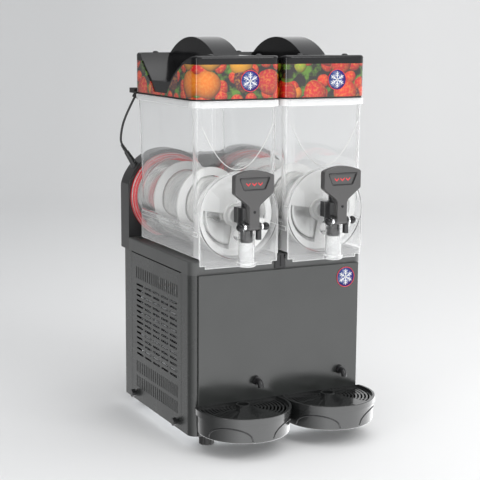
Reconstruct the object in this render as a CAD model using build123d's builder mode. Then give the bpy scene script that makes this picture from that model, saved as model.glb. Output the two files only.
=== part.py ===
from build123d import *
from math import cos, radians, sin, tan
import os

# Twin-bowl frozen drink (slushie) machine for a counter top.
# Millimetres. +Z is up, +X is to the right of a person facing the machine, and the front faces -Y.
# The origin is on the counter, under the middle of the machine's outline.

os.makedirs("parts", exist_ok=True)

# ---------------------------------------------------------------- driving dimensions
# Bowls: clear mouldings, each a square hopper over a lying drum.
bowl_width = 178
bowl_gap = 22
bowl_flare = 3
bowl_length = 310
bowl_wall = 2.5
bowl_wall_height = 231
bowl_corner = 16
bowl_rear_slope = 14
bowl_setback = 3.5
drum_nose = 8.5
rim_height = 13
rim_overhang = 8.3
skirt_side_drop = 82
skirt_front_drop = 97.5
tab_drop = 6
crease_depth = 0.8

# Cabinet: painted sheet round a base pan.
side_margin = 11
cabinet_depth = 369
cabinet_height = 336
foot_height = 22
sheet = 1.5
corner_radius = 20
panel_margin = 13
panel_proud = 7
seam = 1
pan_thick = 2
pan_height = 24
foot_radius = 16
foot_inset = 42
stud_radius = 4
louvre_front_inset = 51
louvre_back_inset = 41
louvre_top_gap = 2.5
screw_radius = 2.5
screw_head = 8.5
post_width = 24
inlet_inset = 60
inlet_rise = 48

# Condensate outlets in the front panel.
elbow_side = 45
elbow_rise = 106
elbow_tube = 6
elbow_bore = 4
elbow_reach = 20
elbow_drop = 10
elbow_flange = 9.5

# Deck under the bowls and the tower behind them.
deck_rim = 28
deck_wall = 3
deck_floor_rise = 4
deck_clear = 1
tower_depth = 47
tower_overhang = 23
tower_wall = 2.5
arch_margin = 15
arch_dip = 89
cap_half = 12
cap_depth = 64
cap_foot = 3
cap_rise = 4
gasket_thick = 5
gasket_proud = 6

# Freezing cylinder, auger and drive.
evaporator_radius = 65
evaporator_wall = 1.5
shaft_radius = 6
shaft_fit = 0.06
auger_clear = 2
auger_pitch = 120
auger_band = 5
auger_hub = 24
paddle_thick = 4
paddle_start = 80
evaporator_setback = 29
auger_setback = 9
flange_thick = 6
flange_proud = 15
bush_wall = 5
gearbox_gap = 9
gearbox_depth = 26
gearbox_half = 42

# Tap.
tap_reach = 34
tap_tube_radius = 16.5
tap_bore = 13.6
tap_tube_top = 20
tap_bottom_drop = 96.5
neck_drop = 36
neck_bore = 9
pivot_clear = 10.5
pivot_drop = 13
pin_radius = 4
pin_half_length = 24
knob_radius = 7.5
piston_lift = 22
rod_radius = 4
plunger_cap = 11.5
plunger_cap_height = 37
bracket_wall = 3
ear_thick = 4.5
stem_clear = 0.5
claw_length = 18
claw_gap = 0.6
handle_half_width = 43
handle_height = 112
handle_depth = 15
recess_depth = 2.5
stem_half_width = 11.5

# Lid.
lid_height = 88
lid_inset = 2
lid_wall = 2.5
lid_corner = 18
lid_band = 17
lid_seal = 3.5
web_width = 56
web_rise = 35
valley_floor = 32
valley_shift = 15.5
valley_foot = 25
valley_front = 167
valley_back = 109
print_sheet = 2
print_edge = 5

# The left lid's lead, from its gland to its plug.
lead_diameter = 5
lead_exit = (-187, 206, 696)
lead_route = (
    lead_exit,
    (-196, 209, 677),
    (-204.5, 214, 656),
    (-210.5, 220, 634),
    (-211.5, 227, 612),
)
lead_straight = 16
plug_length = 40
plug_gap = 0.3
plug_tilt = radians(33)
socket_radius = 9
socket_depth = 14
socket_proud = 3
socket_bearing = radians(137.7)

# Drip trays.
tray_gap = 1
tray_offset = 28.5
tray_height = 52
tray_base = 37
tray_wall = 2.5
tray_rim = 12.5
grate_thick = 3
grate_drop = 5
grate_clear = 0.6
grate_rib = 2.5
ring_pitch = 7.4
ring_slot = 4
ring_inner = 18
ramp_rise = 7
ramp_half_angle = 35
collar_radius = 15
collar_bore = 11.5
tongue_rise = 30
tongue_side = 60
tongue_width = 24
tongue_thick = 5
tongue_length = 6

# Controls on the rear panel, each with its place across the machine.
plate_thick = 3
plate_half = 112
plate_low_drop = 56
plate_high_drop = 8
switch_places = (("power", -84), ("left_auger", -44), ("right_auger", -4))
dial_places = (("left_chill", 42), ("right_chill", 84))
switch_half = (6, 10)
switch_side_clear = 0.5
switch_clear = 1
switch_pin = 1.2
dial_radius = 11
dial_shaft = 3

# Cooling unit in the cabinet.
condenser_inset = 8
condenser_depth = 32
condenser_half = 105
condenser_height = 262
fan_inset = 62
fan_rise = 146
fan_reach = 95
motor_shaft = 4

# Clearances.
slide_clear = 0.3
turn_clear = 0.1

# ---------------------------------------------------------------- places worked out from them
pitch = bowl_width + bowl_gap
half_pitch = pitch / 2
drum_radius = bowl_width / 2
drum_bore = drum_radius - bowl_wall
cabinet_width = pitch + bowl_width + 2 * side_margin
half_width = cabinet_width / 2
tray_radius = (pitch - tray_gap) / 2
tray_reach = tray_radius + tray_offset
overall_depth = tray_reach + cabinet_depth + tower_overhang

front_y = tray_reach - overall_depth / 2
column_y = front_y + panel_proud
cabinet_back = front_y + cabinet_depth
tower_back = overall_depth / 2
tower_front = tower_back - tower_depth
bowl_front = front_y + bowl_setback
bowl_back = bowl_front + bowl_length
drum_front = bowl_front - drum_nose

cabinet_base = foot_height
cabinet_top = cabinet_base + cabinet_height
deck_top = cabinet_top + deck_rim
axis_z = deck_top + deck_clear + drum_radius
rim_z = axis_z + bowl_wall_height
arch_radius = drum_radius + arch_margin
panel_half = half_width - panel_margin
tap_y = drum_front - tap_reach
pivot_y = tap_y - tap_tube_radius - pivot_clear
pivot_z = axis_z - pivot_drop
bracket_top = axis_z + tap_tube_top + bracket_wall

louvre_front = column_y + louvre_front_inset
louvre_back = cabinet_back - louvre_back_inset
louvre_top = cabinet_top - louvre_top_gap
elbow_z = cabinet_base + elbow_rise
inlet_x = half_width - inlet_inset
inlet_z = cabinet_base + inlet_rise

gasket_outer = drum_radius + gasket_proud
gasket_inner = evaporator_radius + flange_proud
evaporator_front = drum_front + evaporator_setback
auger_tip = drum_front + auger_setback
auger_inner = evaporator_radius + auger_clear
auger_outer = drum_bore - auger_clear
gearbox_front = tower_front + gearbox_gap
bowl_rear_end = tower_front - gasket_thick - slide_clear

lid_top = rim_z + lid_height
lid_half = bowl_width / 2 + rim_overhang - lid_inset
lid_front = bowl_front - rim_overhang + bowl_flare + lid_inset
lid_back = bowl_back + rim_overhang - bowl_flare - lid_inset
lid_low = rim_z + lid_seal
lid_tall = lid_top - lid_low
web_half = web_width / 2
valley_middle = (lid_front + lid_back) / 2 + valley_shift

tray_top = tray_base + tray_height
tray_body = tray_radius - 2.5
grate_ledge = tray_top - grate_drop - grate_thick
tongue_z = tray_base + tongue_rise

plate_low = cabinet_top - plate_low_drop
plate_high = cabinet_top - plate_high_drop
plate_face = cabinet_back + plate_thick
control_z = (plate_low + plate_high) / 2
pan_floor = cabinet_base + pan_thick
fan_x = -half_width + fan_inset
fan_y = (louvre_front + louvre_back) / 2
fan_z = pan_floor + fan_rise

SIDES = (("left", -half_pitch), ("right", half_pitch))


def at_y(y):
    """Upright plane across the machine at y. Its sketches read X, Z and extrude towards the front."""
    return Plane.XZ.offset(-y)


def at_x(x):
    """Upright plane along the machine at x. Its sketches read Y, Z and extrude to the right."""
    return Plane.YZ.offset(x)


def at_z(z):
    """Level plane at height z."""
    return Plane.XY.offset(z)


def save(part, name):
    """Write one sub-part to its own STEP file."""
    part.label = name
    export_step(part, f"parts/{name}.step")


def save_pair(part, name):
    """Write a sub-part that each bowl has, once for the left bowl and once for the right."""
    for side, x in SIDES:
        save(part.moved(Location((x, 0, 0))), f"{side}_{name}")


def span(low, high):
    """The middle of a stretch, and its length."""
    return (low + high) / 2, high - low


def block(x, y, z, mode=Mode.ADD):
    """A box between the given limits, inside the part being built."""
    (cx, lx), (cy, ly), (cz, lz) = span(*x), span(*y), span(*z)
    with Locations((cx, cy, cz)):
        return Box(lx, ly, lz, mode=mode)


# ---------------------------------------------------------------- cabinet


def base_pan():
    """Galvanised tray that carries everything: upturned edges all round and four foot holes."""
    inner = half_width - sheet
    back = cabinet_back - sheet
    with BuildPart() as pan:
        with BuildSketch(at_z(cabinet_base)):
            with Locations((0, (column_y + sheet + back) / 2)):
                Rectangle(2 * inner, back - column_y - sheet)
            corners = vertices().group_by(Axis.Y)[0]
            fillet(corners, corner_radius - sheet)
        extrude(amount=pan_height)
        with BuildSketch(at_z(pan_floor)):
            with Locations((0, (column_y + sheet + back) / 2)):
                Rectangle(2 * (inner - sheet), back - column_y - 3 * sheet)
            corners = vertices().group_by(Axis.Y)[0]
            fillet(corners, corner_radius - 2 * sheet)
        extrude(amount=pan_height, mode=Mode.SUBTRACT)
        with Locations(*[(x, y, cabinet_base) for x, y in foot_places()]):
            Cylinder(stud_radius, 10, mode=Mode.SUBTRACT)
        with BuildSketch(at_x(-half_width)):
            with Locations(*thumbscrew_places()):
                Circle(screw_radius)
        extrude(amount=cabinet_width, mode=Mode.SUBTRACT)
    return pan.part


def foot_places():
    """Centres of the four feet."""
    x = half_width - foot_inset
    return [(sx * x, y) for sx in (-1, 1) for y in (column_y + 16, cabinet_back - 40)]


def feet():
    """Four fluted rubber feet, each with its stud up into the base pan."""
    with BuildPart() as feet:
        with BuildSketch(at_z(0)):
            with Locations(*foot_places()):
                Circle(foot_radius)
                with PolarLocations(foot_radius + 1.5, 8):
                    Circle(3.2, mode=Mode.SUBTRACT)
        extrude(amount=foot_height - 3)
        chamfer(feet.edges().group_by(Axis.Z)[0], 1)
        with BuildSketch(at_z(foot_height - 3)):
            with Locations(*foot_places()):
                Circle(10)
        extrude(amount=3)
        with BuildSketch(at_z(foot_height)):
            with Locations(*foot_places()):
                Circle(stud_radius)
        extrude(amount=12)
    return feet.part


def column():
    """Left front column: the side sheet, bent round the corner and in behind the front panel."""
    with BuildPart() as post:
        with BuildSketch(at_z(cabinet_base)):
            with BuildLine():
                Polyline(
                    (-half_width, louvre_front - seam),
                    (-half_width, column_y + corner_radius),
                )
                RadiusArc(
                    (-half_width, column_y + corner_radius),
                    (-half_width + corner_radius, column_y),
                    -corner_radius,
                )
                Polyline(
                    (-half_width + corner_radius, column_y),
                    (-half_width + 44, column_y),
                    (-half_width + 44, column_y + sheet),
                    (-half_width + corner_radius, column_y + sheet),
                )
                RadiusArc(
                    (-half_width + corner_radius, column_y + sheet),
                    (-half_width + sheet, column_y + corner_radius),
                    corner_radius - sheet,
                )
                Polyline(
                    (-half_width + sheet, column_y + corner_radius),
                    (-half_width + sheet, louvre_front - seam),
                    (-half_width, louvre_front - seam),
                )
            make_face()
        extrude(amount=cabinet_height)
    return post.part


def rear_posts():
    """Rear corner posts: each a side strip and a return beside the rear panel."""
    with BuildPart() as post:
        block(
            (-half_width, -half_width + sheet), (louvre_back + seam, cabinet_back),
            (cabinet_base, cabinet_top),
        )
        block(
            (-half_width, -half_width + post_width), (cabinet_back - sheet, cabinet_back),
            (cabinet_base, cabinet_top),
        )
        mirror(about=Plane.YZ)
    return post.part


def louvre_slots():
    """The slot pattern of a side panel, drawn for a plane that reads Y, Z."""
    middle = (louvre_front + louvre_back) / 2 - 3
    field = louvre_back - louvre_front - 48
    rows, columns = 14, 5
    rows_low, rows_high = cabinet_base + 109.5, louvre_top - 67.35
    slot_gap = 8.4
    slot = (field - (columns - 1) * slot_gap) / columns
    fine = 22
    for z in (cabinet_base + 45, cabinet_base + 79, louvre_top - 41):
        with Locations((middle, z)):
            with GridLocations(field / (fine - 1), 1, fine, 1):
                SlotOverall(27, 4, rotation=90)
    with Locations((middle, (rows_low + rows_high) / 2)):
        with GridLocations(slot + slot_gap, (rows_high - rows_low) / (rows - 1), columns, rows):
            SlotOverall(slot, 4.6)


def louvre_panel():
    """Left louvred side panel: hangs on the deck's lip and is held by two thumbscrews."""
    with BuildPart() as panel:
        with BuildSketch(at_x(-half_width)):
            with Locations(((louvre_front + louvre_back) / 2, (cabinet_base + louvre_top) / 2)):
                Rectangle(louvre_back - louvre_front, louvre_top - cabinet_base)
            with BuildSketch(mode=Mode.SUBTRACT):
                louvre_slots()
            with Locations(*thumbscrew_places()):
                Circle(screw_radius, mode=Mode.SUBTRACT)
        extrude(amount=sheet)
    return panel.part


def thumbscrew_places():
    """Y, Z of a side panel's two thumbscrews."""
    return [(louvre_front + 20, cabinet_base + 15), (louvre_back - 20, cabinet_base + 15)]


def thumbscrews():
    """Four captive thumbscrews with fluted heads, two to each side panel."""
    with BuildPart() as screws:
        with BuildSketch(at_x(-half_width - 12)):
            with Locations(*thumbscrew_places()):
                Circle(screw_head)
                with PolarLocations(screw_head + 1.1, 6):
                    Circle(2.2, mode=Mode.SUBTRACT)
        extrude(amount=9)
        chamfer(screws.edges().group_by(Axis.X)[0], 0.8)
        with BuildSketch(at_x(-half_width - 3)):
            with Locations(*thumbscrew_places()):
                Circle(5)
        extrude(amount=3)
        with BuildSketch(at_x(-half_width)):
            with Locations(*thumbscrew_places()):
                Circle(screw_radius)
        extrude(amount=sheet + 2)
        mirror(about=Plane.YZ)
    return screws.part


def front_panel():
    """Folded front panel, standing proud of the columns, with the drain holes and tray slots."""
    low, high = cabinet_base + 2, cabinet_top
    with BuildPart() as panel:
        block((-panel_half, panel_half), (front_y, column_y), (low, high))
        fillet(panel.edges().filter_by(Axis.Z).group_by(Axis.Y)[0], 1.2)
        block(
            (-panel_half + sheet, panel_half - sheet),
            (front_y + sheet, column_y),
            (low + sheet, high - sheet),
            mode=Mode.SUBTRACT,
        )
        for sx in (-1, 1):
            edge = sorted((sx * (panel_half - sheet), sx * (panel_half - 19)))
            block(edge, (column_y - sheet, column_y), (low + sheet, high - sheet))
        with BuildSketch(at_y(column_y)):
            for _, x in SIDES:
                with Locations((x + elbow_side, elbow_z)):
                    Circle(elbow_tube + slide_clear)
                with Locations((x - tongue_side, tongue_z), (x + tongue_side, tongue_z)):
                    Rectangle(tongue_width + 2 * slide_clear, tongue_thick + 2 * slide_clear)
        extrude(amount=panel_proud, mode=Mode.SUBTRACT)
    return panel.part


def rear_panel():
    """Rear panel with its vents and the mains inlet's hole."""
    half = half_width - post_width
    with BuildPart() as panel:
        with BuildSketch(at_y(cabinet_back)):
            with Locations((0, (cabinet_base + 2 + cabinet_top) / 2)):
                Rectangle(2 * half, cabinet_height - 2)
            with Locations((0, cabinet_base + 175)):
                with GridLocations(14, 66, 18, 3):
                    SlotOverall(52, 5, rotation=90, mode=Mode.SUBTRACT)
            with BuildSketch(at_z(0), mode=Mode.SUBTRACT):
                control_openings()
            with Locations((inlet_x, inlet_z)):
                Rectangle(28, 21, mode=Mode.SUBTRACT)
        extrude(amount=sheet)
    return panel.part


def mains_inlet():
    """Flanged three-pin mains inlet."""
    with BuildPart() as inlet:
        block(
            (inlet_x - 14, inlet_x + 14), (cabinet_back - 22, cabinet_back),
            (inlet_z - 10.5, inlet_z + 10.5),
        )
        block(
            (inlet_x - 25, inlet_x + 25), (cabinet_back, cabinet_back + 3),
            (inlet_z - 13.5, inlet_z + 13.5),
        )
        fillet(inlet.edges().filter_by(Axis.Y).group_by(SortBy.LENGTH)[0], 3)
        block(
            (inlet_x - 12, inlet_x + 12), (cabinet_back - 15, cabinet_back + 3), (inlet_z - 8, inlet_z + 8),
            mode=Mode.SUBTRACT,
        )
        for dx, dz in ((-7, 2), (0, -2), (7, 2)):
            block(
                (inlet_x + dx - 1, inlet_x + dx + 1), (cabinet_back - 16, cabinet_back - 2),
                (inlet_z + dz - 2, inlet_z + dz + 2),
            )
    return inlet.part


def drain_elbow():
    """Condensate outlet above a tray: flange on the panel, stub, and a spout turned down."""
    inside = front_y + 10
    outside = front_y - elbow_reach
    with BuildPart() as elbow:
        with BuildLine() as path:
            FilletPolyline(
                (elbow_side, inside, elbow_z),
                (elbow_side, outside, elbow_z),
                (elbow_side, outside, elbow_z - elbow_drop),
                radius=elbow_tube + 2,
            )
        with BuildSketch(at_y(inside)):
            with Locations((elbow_side, elbow_z)):
                Circle(elbow_tube)
        sweep(path=path.line)
        with BuildSketch(at_y(front_y)):
            with Locations((elbow_side, elbow_z)):
                Circle(elbow_flange)
        extrude(amount=6)
        with BuildSketch(at_y(inside)):
            with Locations((elbow_side, elbow_z)):
                Circle(elbow_bore)
        sweep(path=path.line, mode=Mode.SUBTRACT)
    return elbow.part


# ---------------------------------------------------------------- deck and tower


def deck():
    """Moulded cap over the cabinet, with a shallow drip well under each bowl."""
    with BuildPart() as cap:
        with BuildSketch(at_z(cabinet_top)):
            with Locations((0, (column_y + tower_front) / 2)):
                Rectangle(cabinet_width, tower_front - column_y)
            fillet(vertices().group_by(Axis.Y)[0], corner_radius)
        extrude(amount=deck_rim)
        fillet(cap.edges().group_by(Axis.Z)[-1].sort_by(Axis.Y)[:-1], 3)
        with BuildSketch(at_z(cabinet_top)):
            with Locations((0, (column_y + tower_front) / 2)):
                Rectangle(cabinet_width - 2 * deck_wall, tower_front - column_y - 2 * deck_wall)
            fillet(vertices().group_by(Axis.Y)[0], corner_radius - deck_wall)
        extrude(amount=deck_rim - deck_floor_rise - deck_wall, mode=Mode.SUBTRACT)
        for _, x in SIDES:
            well = (x - drum_radius + 3, x + drum_radius - 3)
            block(
                well, (column_y + 8, tower_front - 8), (deck_top - deck_floor_rise, deck_top),
                mode=Mode.SUBTRACT,
            )
        with BuildSketch(at_y(tower_front)):
            with Locations(*[(x, axis_z) for _, x in SIDES]):
                Circle(gasket_outer)
        extrude(amount=gasket_thick, mode=Mode.SUBTRACT)
        block(
            (-cap_half, cap_half), (column_y, column_y + cap_depth), (cabinet_top + cap_foot, deck_top),
            mode=Mode.SUBTRACT,
        )
    return cap.part


def centre_cap():
    """Black grooved cap that fills the notch in the deck between the two bowls."""
    with BuildPart() as cap:
        block(
            (-cap_half, cap_half), (column_y - 3, column_y + cap_depth),
            (cabinet_top + cap_foot, deck_top + cap_rise),
        )
        fillet(cap.edges().filter_by(Axis.Y).group_by(Axis.Z)[-1], 4)
        block(
            (-1.2, 1.2), (column_y - 3, column_y - 1.5),
            (cabinet_top + cap_foot + 3, deck_top + cap_rise - 3), mode=Mode.SUBTRACT,
        )
    return cap.part


def tower_outline(inset):
    """The tower seen from the front: twin arches round the drums, on a straight-sided base."""
    bottom = cabinet_top
    with Locations(*[(x, axis_z) for _, x in SIDES]):
        Circle(arch_radius - inset)
    with Locations((0, (bottom + axis_z) / 2)):
        Rectangle(cabinet_width - 2 * inset, axis_z - bottom)
    with Locations((0, axis_z + (arch_dip - inset) / 2)):
        Rectangle(pitch, arch_dip - inset)
    with Locations((0, axis_z)):
        Rectangle(cabinet_width - 2 * inset, 4 * arch_radius, mode=Mode.INTERSECT)


def tower_front_cover():
    """Front half of the tower: the bulkhead that the freezing cylinders stand on."""
    with BuildPart() as cover:
        with BuildSketch(at_y(tower_front + deck_wall)):
            tower_outline(0)
            with Locations(*[(x, axis_z) for _, x in SIDES]):
                Circle(shaft_radius + 3, mode=Mode.SUBTRACT)
        extrude(amount=deck_wall)
    return cover.part


def tower_rear_cover():
    """Rear half of the tower: an arched shell with vents, open below and towards the bulkhead."""
    depth = tower_depth - deck_wall
    with BuildPart() as cover:
        with BuildSketch(at_y(tower_back)):
            tower_outline(0)
        extrude(amount=depth)
        fillet(cover.faces().sort_by(Axis.Y)[-1].edges().filter_by(GeomType.CIRCLE), 3)
        with BuildSketch(at_y(tower_back - tower_wall)):
            tower_outline(tower_wall)
        extrude(amount=depth - tower_wall, mode=Mode.SUBTRACT)
        block(
            (-half_width + tower_wall, half_width - tower_wall),
            (tower_front + deck_wall, tower_back - tower_wall),
            (cabinet_top, cabinet_top + tower_wall),
            mode=Mode.SUBTRACT,
        )
        block((-half_width, half_width), (tower_front, cabinet_back), (0, cabinet_top), mode=Mode.SUBTRACT)
        with BuildSketch(at_y(tower_back)):
            for _, x in SIDES:
                with Locations((x, axis_z)):
                    with GridLocations(12, 1, 9, 1):
                        SlotOverall(70, 4, rotation=90)
        extrude(amount=tower_wall, mode=Mode.SUBTRACT)
        add(lead_sockets(), mode=Mode.SUBTRACT)
    return cover.part


# ---------------------------------------------------------------- freezing cylinder, auger, drive


def gasket():
    """Red ring between the bulkhead and the bowl's open rear end."""
    with BuildPart() as ring:
        with BuildSketch(at_y(tower_front)):
            with Locations((0, axis_z)):
                Circle(gasket_outer)
                Circle(gasket_inner, mode=Mode.SUBTRACT)
        extrude(amount=gasket_thick)
    return ring.part


def evaporator():
    """Stainless freezing cylinder on its white flange, with the shaft's front bush in its nose."""
    with BuildPart() as drum:
        with BuildSketch(at_y(tower_front)):
            with Locations((0, axis_z)):
                Circle(evaporator_radius)
        extrude(amount=tower_front - evaporator_front)
        fillet(drum.edges().group_by(Axis.Y)[0], 6)
        with BuildSketch(at_y(tower_front)):
            with Locations((0, axis_z)):
                Circle(evaporator_radius - evaporator_wall)
        extrude(amount=tower_front - evaporator_front - 2 * evaporator_wall - 6, mode=Mode.SUBTRACT)
        with BuildSketch(at_y(tower_front)):
            with Locations((0, axis_z)):
                Circle(gasket_inner - slide_clear)
                Circle(evaporator_radius - evaporator_wall, mode=Mode.SUBTRACT)
        extrude(amount=flange_thick)
        with BuildSketch(at_y(evaporator_front + 40)):
            with Locations((0, axis_z)):
                Circle(shaft_radius + bush_wall)
        extrude(amount=40 - 2)
        with BuildSketch(at_y(tower_front)):
            with Locations((0, axis_z)):
                Circle(shaft_radius + shaft_fit)
        extrude(amount=tower_front - evaporator_front + 10, mode=Mode.SUBTRACT)
    return drum.part


def drive_shaft():
    """Stainless shaft from the gearbox, through the freezing cylinder, to the auger's nose."""
    with BuildPart() as shaft:
        with BuildSketch(at_y(gearbox_front)):
            with Locations((0, axis_z)):
                Circle(shaft_radius)
        extrude(amount=gearbox_front - auger_tip - 4)
    return shaft.part


def gearmotor():
    """Gearbox on the bulkhead, with its motor hanging below it."""
    with BuildPart() as motor:
        block(
            (-gearbox_half, gearbox_half), (gearbox_front, gearbox_front + gearbox_depth),
            (axis_z - gearbox_half, axis_z + gearbox_half),
        )
        fillet(motor.edges().filter_by(Axis.Y), 8)
        with Locations(*[(sx * 34, (tower_front + deck_wall + gearbox_front) / 2, axis_z + sz * 34)
                         for sx in (-1, 1) for sz in (-1, 1)]):
            Cylinder(5, gearbox_front - tower_front - deck_wall, rotation=(90, 0, 0))
        with BuildSketch(at_z(axis_z - gearbox_half - 62)):
            with Locations((0, gearbox_front + gearbox_depth / 2)):
                Circle(18)
        extrude(amount=64)
    return motor.part


def auger():
    """White helical scraper: a ribbon round the freezing cylinder, carried by two fan-shaped paddles."""
    ribbon = auger_outer - auger_inner
    middle = (auger_outer + auger_inner) / 2
    start = evaporator_front - auger_clear - auger_band / 2
    length = tower_front - flange_thick - auger_clear - auger_band / 2 - start
    nose = start + auger_band / 2
    cone_length = 6
    with BuildPart() as screw:
        with BuildLine() as path:
            Helix(auger_pitch, length, middle, center=(0, start, axis_z), direction=(0, 1, 0))
        first = path.line @ 0
        outward = (first.X, 0, first.Z - axis_z)
        with BuildSketch(Plane(origin=first, x_dir=outward, z_dir=path.line % 0)):
            Rectangle(ribbon, auger_band)
        sweep(path=path.line, is_frenet=True)
        with BuildSketch(at_y(nose)):
            with Locations((0, axis_z)):
                with PolarLocations(0, 2, start_angle=paddle_start):
                    Rectangle(auger_outer, auger_outer, align=(Align.MIN, Align.MIN))
                Circle(auger_outer - 0.5, mode=Mode.INTERSECT)
                Circle(auger_hub)
        extrude(amount=paddle_thick)
        with BuildSketch(at_y(nose)):
            with Locations((0, axis_z)):
                Circle(auger_outer - 0.5)
                Circle(auger_inner + 4, mode=Mode.SUBTRACT)
        extrude(amount=paddle_thick + 2)
        with BuildSketch(at_y(nose)):
            with Locations((0, axis_z)):
                Circle(auger_hub)
        extrude(amount=nose - auger_tip - cone_length)
        with BuildSketch(at_y(auger_tip + cone_length)):
            with Locations((0, axis_z)):
                Circle(auger_hub - 6)
        extrude(amount=cone_length, taper=18)
        with BuildSketch(at_y(tower_front)):
            with Locations((0, axis_z)):
                Circle(shaft_radius)
        extrude(amount=tower_front - auger_tip - 4, mode=Mode.SUBTRACT)
    return screw.part


# ---------------------------------------------------------------- bowl


def hopper(inset):
    """The hopper's flared block, drawn in by inset."""
    low_back = bowl_back - bowl_rear_slope
    with BuildPart() as hopper:
        for z, width, back in (
            (axis_z, bowl_width, low_back),
            (rim_z, bowl_width + 2 * bowl_flare, bowl_back),
        ):
            with BuildSketch(at_z(z)):
                with Locations((0, (bowl_front + back) / 2)):
                    RectangleRounded(width - 2 * inset, back - bowl_front - 2 * inset, bowl_corner - inset)
        loft()
    return hopper.part


def bowl_plan(grow):
    """Rounded oblong over the hopper's mouth, grown past its walls."""
    with Locations((0, (bowl_front + bowl_back) / 2)):
        RectangleRounded(
            bowl_width + 2 * bowl_flare + 2 * grow, bowl_length + 2 * grow, bowl_corner + grow,
        )


def crease(half, low, high, top):
    """A field that a parabola bounds below: its foot at low, its ends at high."""
    with BuildSketch() as field:
        with BuildLine():
            Bezier((-half, high), (0, 2 * low - high), (half, high))
            Polyline((half, high), (half, top), (-half, top), (-half, high))
        make_face()
    return field.sketch


def bowl():
    """Clear bowl: flared hopper over a drum, drip skirts round the drum and the tap's tube."""
    skirt_z = axis_z - skirt_side_drop
    front_z = axis_z - skirt_front_drop
    neck_z = axis_z - neck_drop
    tube_low = axis_z - tap_bottom_drop
    with BuildPart() as bowl:
        with BuildSketch(at_z(rim_z - rim_height)):
            bowl_plan(rim_overhang - bowl_flare)
        extrude(amount=rim_height)
        fillet(bowl.edges().group_by(Axis.Z)[-1], 1.5)
        with BuildSketch(at_z(rim_z - rim_height)):
            bowl_plan(rim_overhang - bowl_flare - bowl_wall)
        extrude(amount=rim_height - bowl_wall, mode=Mode.SUBTRACT)
        add(hopper(0))
        with BuildSketch(at_y(bowl_rear_end)):
            with Locations((0, axis_z)):
                Circle(drum_radius)
        extrude(amount=bowl_rear_end - drum_front)
        with BuildSketch(at_y(bowl_rear_end)):
            with Locations((0, axis_z)):
                Circle(gasket_outer)
        extrude(amount=gasket_thick)
        block(
            (-gasket_outer, gasket_outer), (bowl_rear_end - gasket_thick, bowl_rear_end),
            (axis_z - gasket_outer, axis_z - drum_radius), mode=Mode.SUBTRACT,
        )
        for sx in (-1, 1):
            wall = sorted((sx * drum_radius, sx * (drum_radius - bowl_wall)))
            block(wall, (drum_front, bowl_back - 18), (skirt_z, axis_z))
            ledge = sorted((sx * drum_radius, sx * (drum_radius + 1.5)))
            block(ledge, (drum_front + 6, bowl_back - 24), (skirt_z + 44, skirt_z + 52))
        block((-drum_radius + 2, drum_radius - 2), (drum_front, drum_front + bowl_wall), (front_z, axis_z))
        block(
            (-drum_radius + 14, drum_radius - 14), (drum_front, drum_front + bowl_wall),
            (front_z - tab_drop, front_z),
        )
        with BuildSketch(at_y(bowl_front)):
            add(crease(bowl_width / 2 - 9, axis_z + drum_radius + 4, rim_z - 48, rim_z - rim_height - 1))
        extrude(amount=-crease_depth, mode=Mode.SUBTRACT)
        with BuildSketch(at_y(drum_front)):
            with Locations((0, neck_z)):
                Circle(neck_bore + bowl_wall + 3)
        extrude(amount=tap_reach)
        with BuildSketch(at_z(tube_low)):
            with Locations((0, tap_y)):
                Circle(tap_tube_radius)
        extrude(amount=axis_z + tap_tube_top - tube_low)
        with BuildSketch(at_z(tube_low + 2)):
            with Locations((0, tap_y)):
                Circle(tap_tube_radius + 3.5)
        extrude(amount=7)
        add(hopper(bowl_wall), mode=Mode.SUBTRACT)
        with BuildSketch(at_y(bowl_rear_end)):
            with Locations((0, axis_z)):
                Circle(drum_bore)
        extrude(amount=bowl_rear_end - drum_front - bowl_wall, mode=Mode.SUBTRACT)
        with BuildSketch(at_y(drum_front + bowl_wall)):
            with Locations((0, neck_z)):
                Circle(neck_bore)
        extrude(amount=tap_reach + bowl_wall, mode=Mode.SUBTRACT)
        with BuildSketch(at_z(tube_low)):
            with Locations((0, tap_y)):
                Circle(tap_bore)
        extrude(amount=axis_z + tap_tube_top - tube_low, mode=Mode.SUBTRACT)
    return bowl.part


# ---------------------------------------------------------------- tap


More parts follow.
